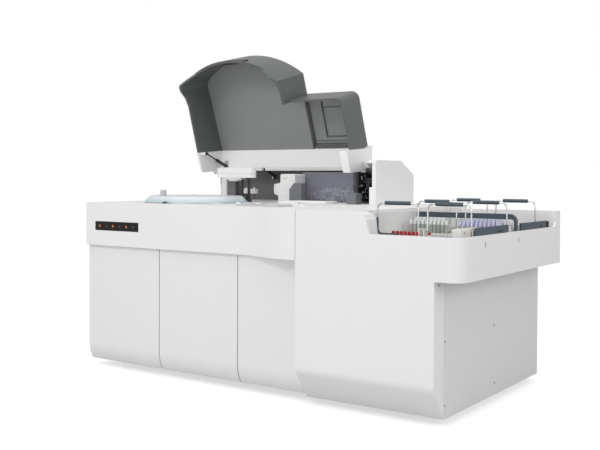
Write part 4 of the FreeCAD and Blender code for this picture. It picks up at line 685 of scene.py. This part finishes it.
def hood_details():
    # A dark block of painted shade fills the pocket behind the finger grip
    grip = blocks(((298, -672, -94), (450, -657, -52)))
    make("hood_grip_painted_shade", grip, "dark_gap", "hood", HOOD, bevel=2.0)
    panel = blocks(
        ((PANEL_LEFT, PANEL_FRONT, PANEL_LOW), (OPENING_LEFT, PANEL_REAR, PANEL_TOP)),
        ((OPENING_RIGHT, PANEL_FRONT, PANEL_LOW), (PANEL_RIGHT, PANEL_REAR, PANEL_TOP)),
        ((OPENING_LEFT, PANEL_FRONT, PANEL_LOW), (OPENING_RIGHT, OPENING_FRONT, PANEL_TOP)),
        ((OPENING_LEFT, OPENING_REAR, PANEL_LOW), (OPENING_RIGHT, PANEL_REAR, PANEL_TOP)))
    make("bay_panel", panel, "liner_grey", "hood", HOOD, bevel=1.5)
    ribs = blocks(
        ((OPENING_LEFT, -340, 106), (OPENING_RIGHT, -336, PANEL_TOP)),
        ((OPENING_LEFT - 4, PANEL_FRONT, RIB_LOW), (OPENING_LEFT, OPENING_REAR + 2, RIB_TOP)),
        ((OPENING_LEFT - 4, OPENING_REAR - 2, RIB_LOW), (OPENING_RIGHT, OPENING_REAR + 2, RIB_TOP)),
        ((PANEL_LEFT + 4, -150, RIB_LOW), (PANEL_RIGHT, -146, RIB_TOP)))
    make("bay_ribs", ribs, "hood_grey", "hood", HOOD, bevel=0.6)
    step = blocks(((PANEL_LEFT + 4, PANEL_REAR - 4, 84), (PANEL_RIGHT, -112, 106)))
    make("bay_step", step, "hood_grey", "hood", HOOD, bevel=2.0)


# Rear panel: power inlet with its pins and switch, and three fluid ports on six-sided plates
INLET_PINS, FLUID_PORTS, PORT_HIGH = (1170, 1181, 1192), (180, 240, 300), 220


def rear_details():
    bm = bmesh.new()
    inlet = block(bm, (1150, BACK - 3, 180), (1212, BACK + FLUSH, 232))
    sink(bm, inlet, Vector((0, 1, 0)), 7, 0.2)
    block(bm, (1228, BACK - 3, 186), (1256, BACK + FLUSH, 226))
    make("power_inlet", bm, "dark_gap", bevel=0.1)
    pins = blocks(*(((x - 1.2, BACK - 2, 200), (x + 1.2, BACK + FLUSH, 212)) for x in INLET_PINS))
    make("inlet_pins", pins, "bright_steel")
    plates = rods(*(((x, BACK - 5, PORT_HIGH), (x, BACK + 0.2, PORT_HIGH), 15, 6) for x in FLUID_PORTS))
    make("port_plates", plates, "plate_grey")
    ports = rods(*(((x, BACK - 5, PORT_HIGH), (x, BACK + FLUSH, PORT_HIGH), 7, 24) for x in FLUID_PORTS))
    make("fluid_ports", ports, "dark_gap")


for tag, (x, y) in BAILS.items():
    bail(tag, x, y)
red_caps()
tube_row("pale_front", "three", -2, "cap_pale", 815)
tube_row("pale_rear", "three", -1, "cap_pale", 826, empty=(8, 9))
tube_row("lilac_front", "four", -2, "cap_lilac", 812)
tube_row("lilac_middle", "four", -1, "cap_lilac", 820, empty=(9,))
tube_row("lilac_rear", "four", 0, "cap_lilac", 826, empty=(9,))
tube_row("rear_pale", "six", 0, "cap_pale", 800, empty=(0, 1, 7))
tube_mouth_shade()
calibrator()
tray_details()
panel_screws()
front_details()
disk_details()
arm_details()
unit_details()
loose_vessels()
hopper_rim()
gantry()
deck_details()
hood_details()
rear_details()

# Floor, backdrop and lights, in metres
FLOOR_HALF, FLOOR_LIFT, ROOM_LIGHT, BACKDROP = 30.0, 0.62, 0.60, 1.0
WHITE = (1, 1, 1, 1)


def studio_floor():
    """A pale floor that the camera sees a little brighter than it is lit."""
    bm = bmesh.new()
    bmesh.ops.create_grid(bm, x_segments=1, y_segments=1, size=FLOOR_HALF)
    mesh = bpy.data.meshes.new("studio_floor")
    bm.to_mesh(mesh)
    bm.free()
    floor = bpy.data.objects.new("studio_floor", mesh)
    bpy.context.scene.collection.objects.link(floor)
    look = finish("floor_white", (0.60, 0.60, 0.60), 0.5, 0.0, 400, 0.0, specular=0.2)
    tree = look.node_tree
    shader = tree.nodes["Principled BSDF"]
    lift = tree.nodes.new("ShaderNodeEmission")
    lift.inputs["Strength"].default_value = FLOOR_LIFT
    lifted = tree.nodes.new("ShaderNodeAddShader")
    tree.links.new(shader.outputs[0], lifted.inputs[0])
    tree.links.new(lift.outputs[0], lifted.inputs[1])
    path = tree.nodes.new("ShaderNodeLightPath")
    pick = tree.nodes.new("ShaderNodeMixShader")
    tree.links.new(path.outputs["Is Camera Ray"], pick.inputs[0])
    tree.links.new(shader.outputs[0], pick.inputs[1])
    tree.links.new(lifted.outputs[0], pick.inputs[2])
    tree.links.new(pick.outputs[0], tree.nodes["Material Output"].inputs["Surface"])
    mesh.materials.append(look)


def studio_world():
    """Even light all round, and a white backdrop for the camera and for what is seen through glass."""
    world = bpy.data.worlds.new("studio")
    bpy.context.scene.world = world
    world.use_nodes = True
    tree = world.node_tree
    room = tree.nodes["Background"]
    backdrop = tree.nodes.new("ShaderNodeBackground")
    for light, strength in ((room, ROOM_LIGHT), (backdrop, BACKDROP)):
        light.inputs["Color"].default_value = WHITE
        light.inputs["Strength"].default_value = strength
    path = tree.nodes.new("ShaderNodeLightPath")
    seen = math_node(tree, "MAXIMUM", path.outputs["Is Camera Ray"], path.outputs["Is Transmission Ray"])
    pick = tree.nodes.new("ShaderNodeMixShader")
    tree.links.new(seen, pick.inputs[0])
    tree.links.new(room.outputs[0], pick.inputs[1])
    tree.links.new(backdrop.outputs[0], pick.inputs[2])
    tree.links.new(pick.outputs[0], tree.nodes["World Output"].inputs["Surface"])


def area_light(name, place, target, size, power):
    data = bpy.data.lights.new(name, "AREA")
    data.shape = "RECTANGLE"
    data.size, data.size_y = size
    data.energy = power
    lamp = bpy.data.objects.new(name, data)
    bpy.context.scene.collection.objects.link(lamp)
    lamp.location = place
    lamp.rotation_euler = (Vector(target) - Vector(place)).to_track_quat("-Z", "Y").to_euler()


studio_floor()
studio_world()
area_light("top_light", (0.2, -0.6, 4.6), (0, 0, 0.4), (5.0, 4.0), 62)
area_light("front_light", (-1.2, -5.4, 4.3), (0, 0, 0.6), (2.4, 1.6), 95)
area_light("fill_light", (0.6, -6.4, 1.1), (0, 0, 0.8), (4.0, 2.2), 50)
area_light("side_light", (5.2, -0.8, 2.2), (0.6, 0.2, 0.7), (2.4, 2.4), 48)
bpy.context.scene.view_settings.view_transform = "Standard"
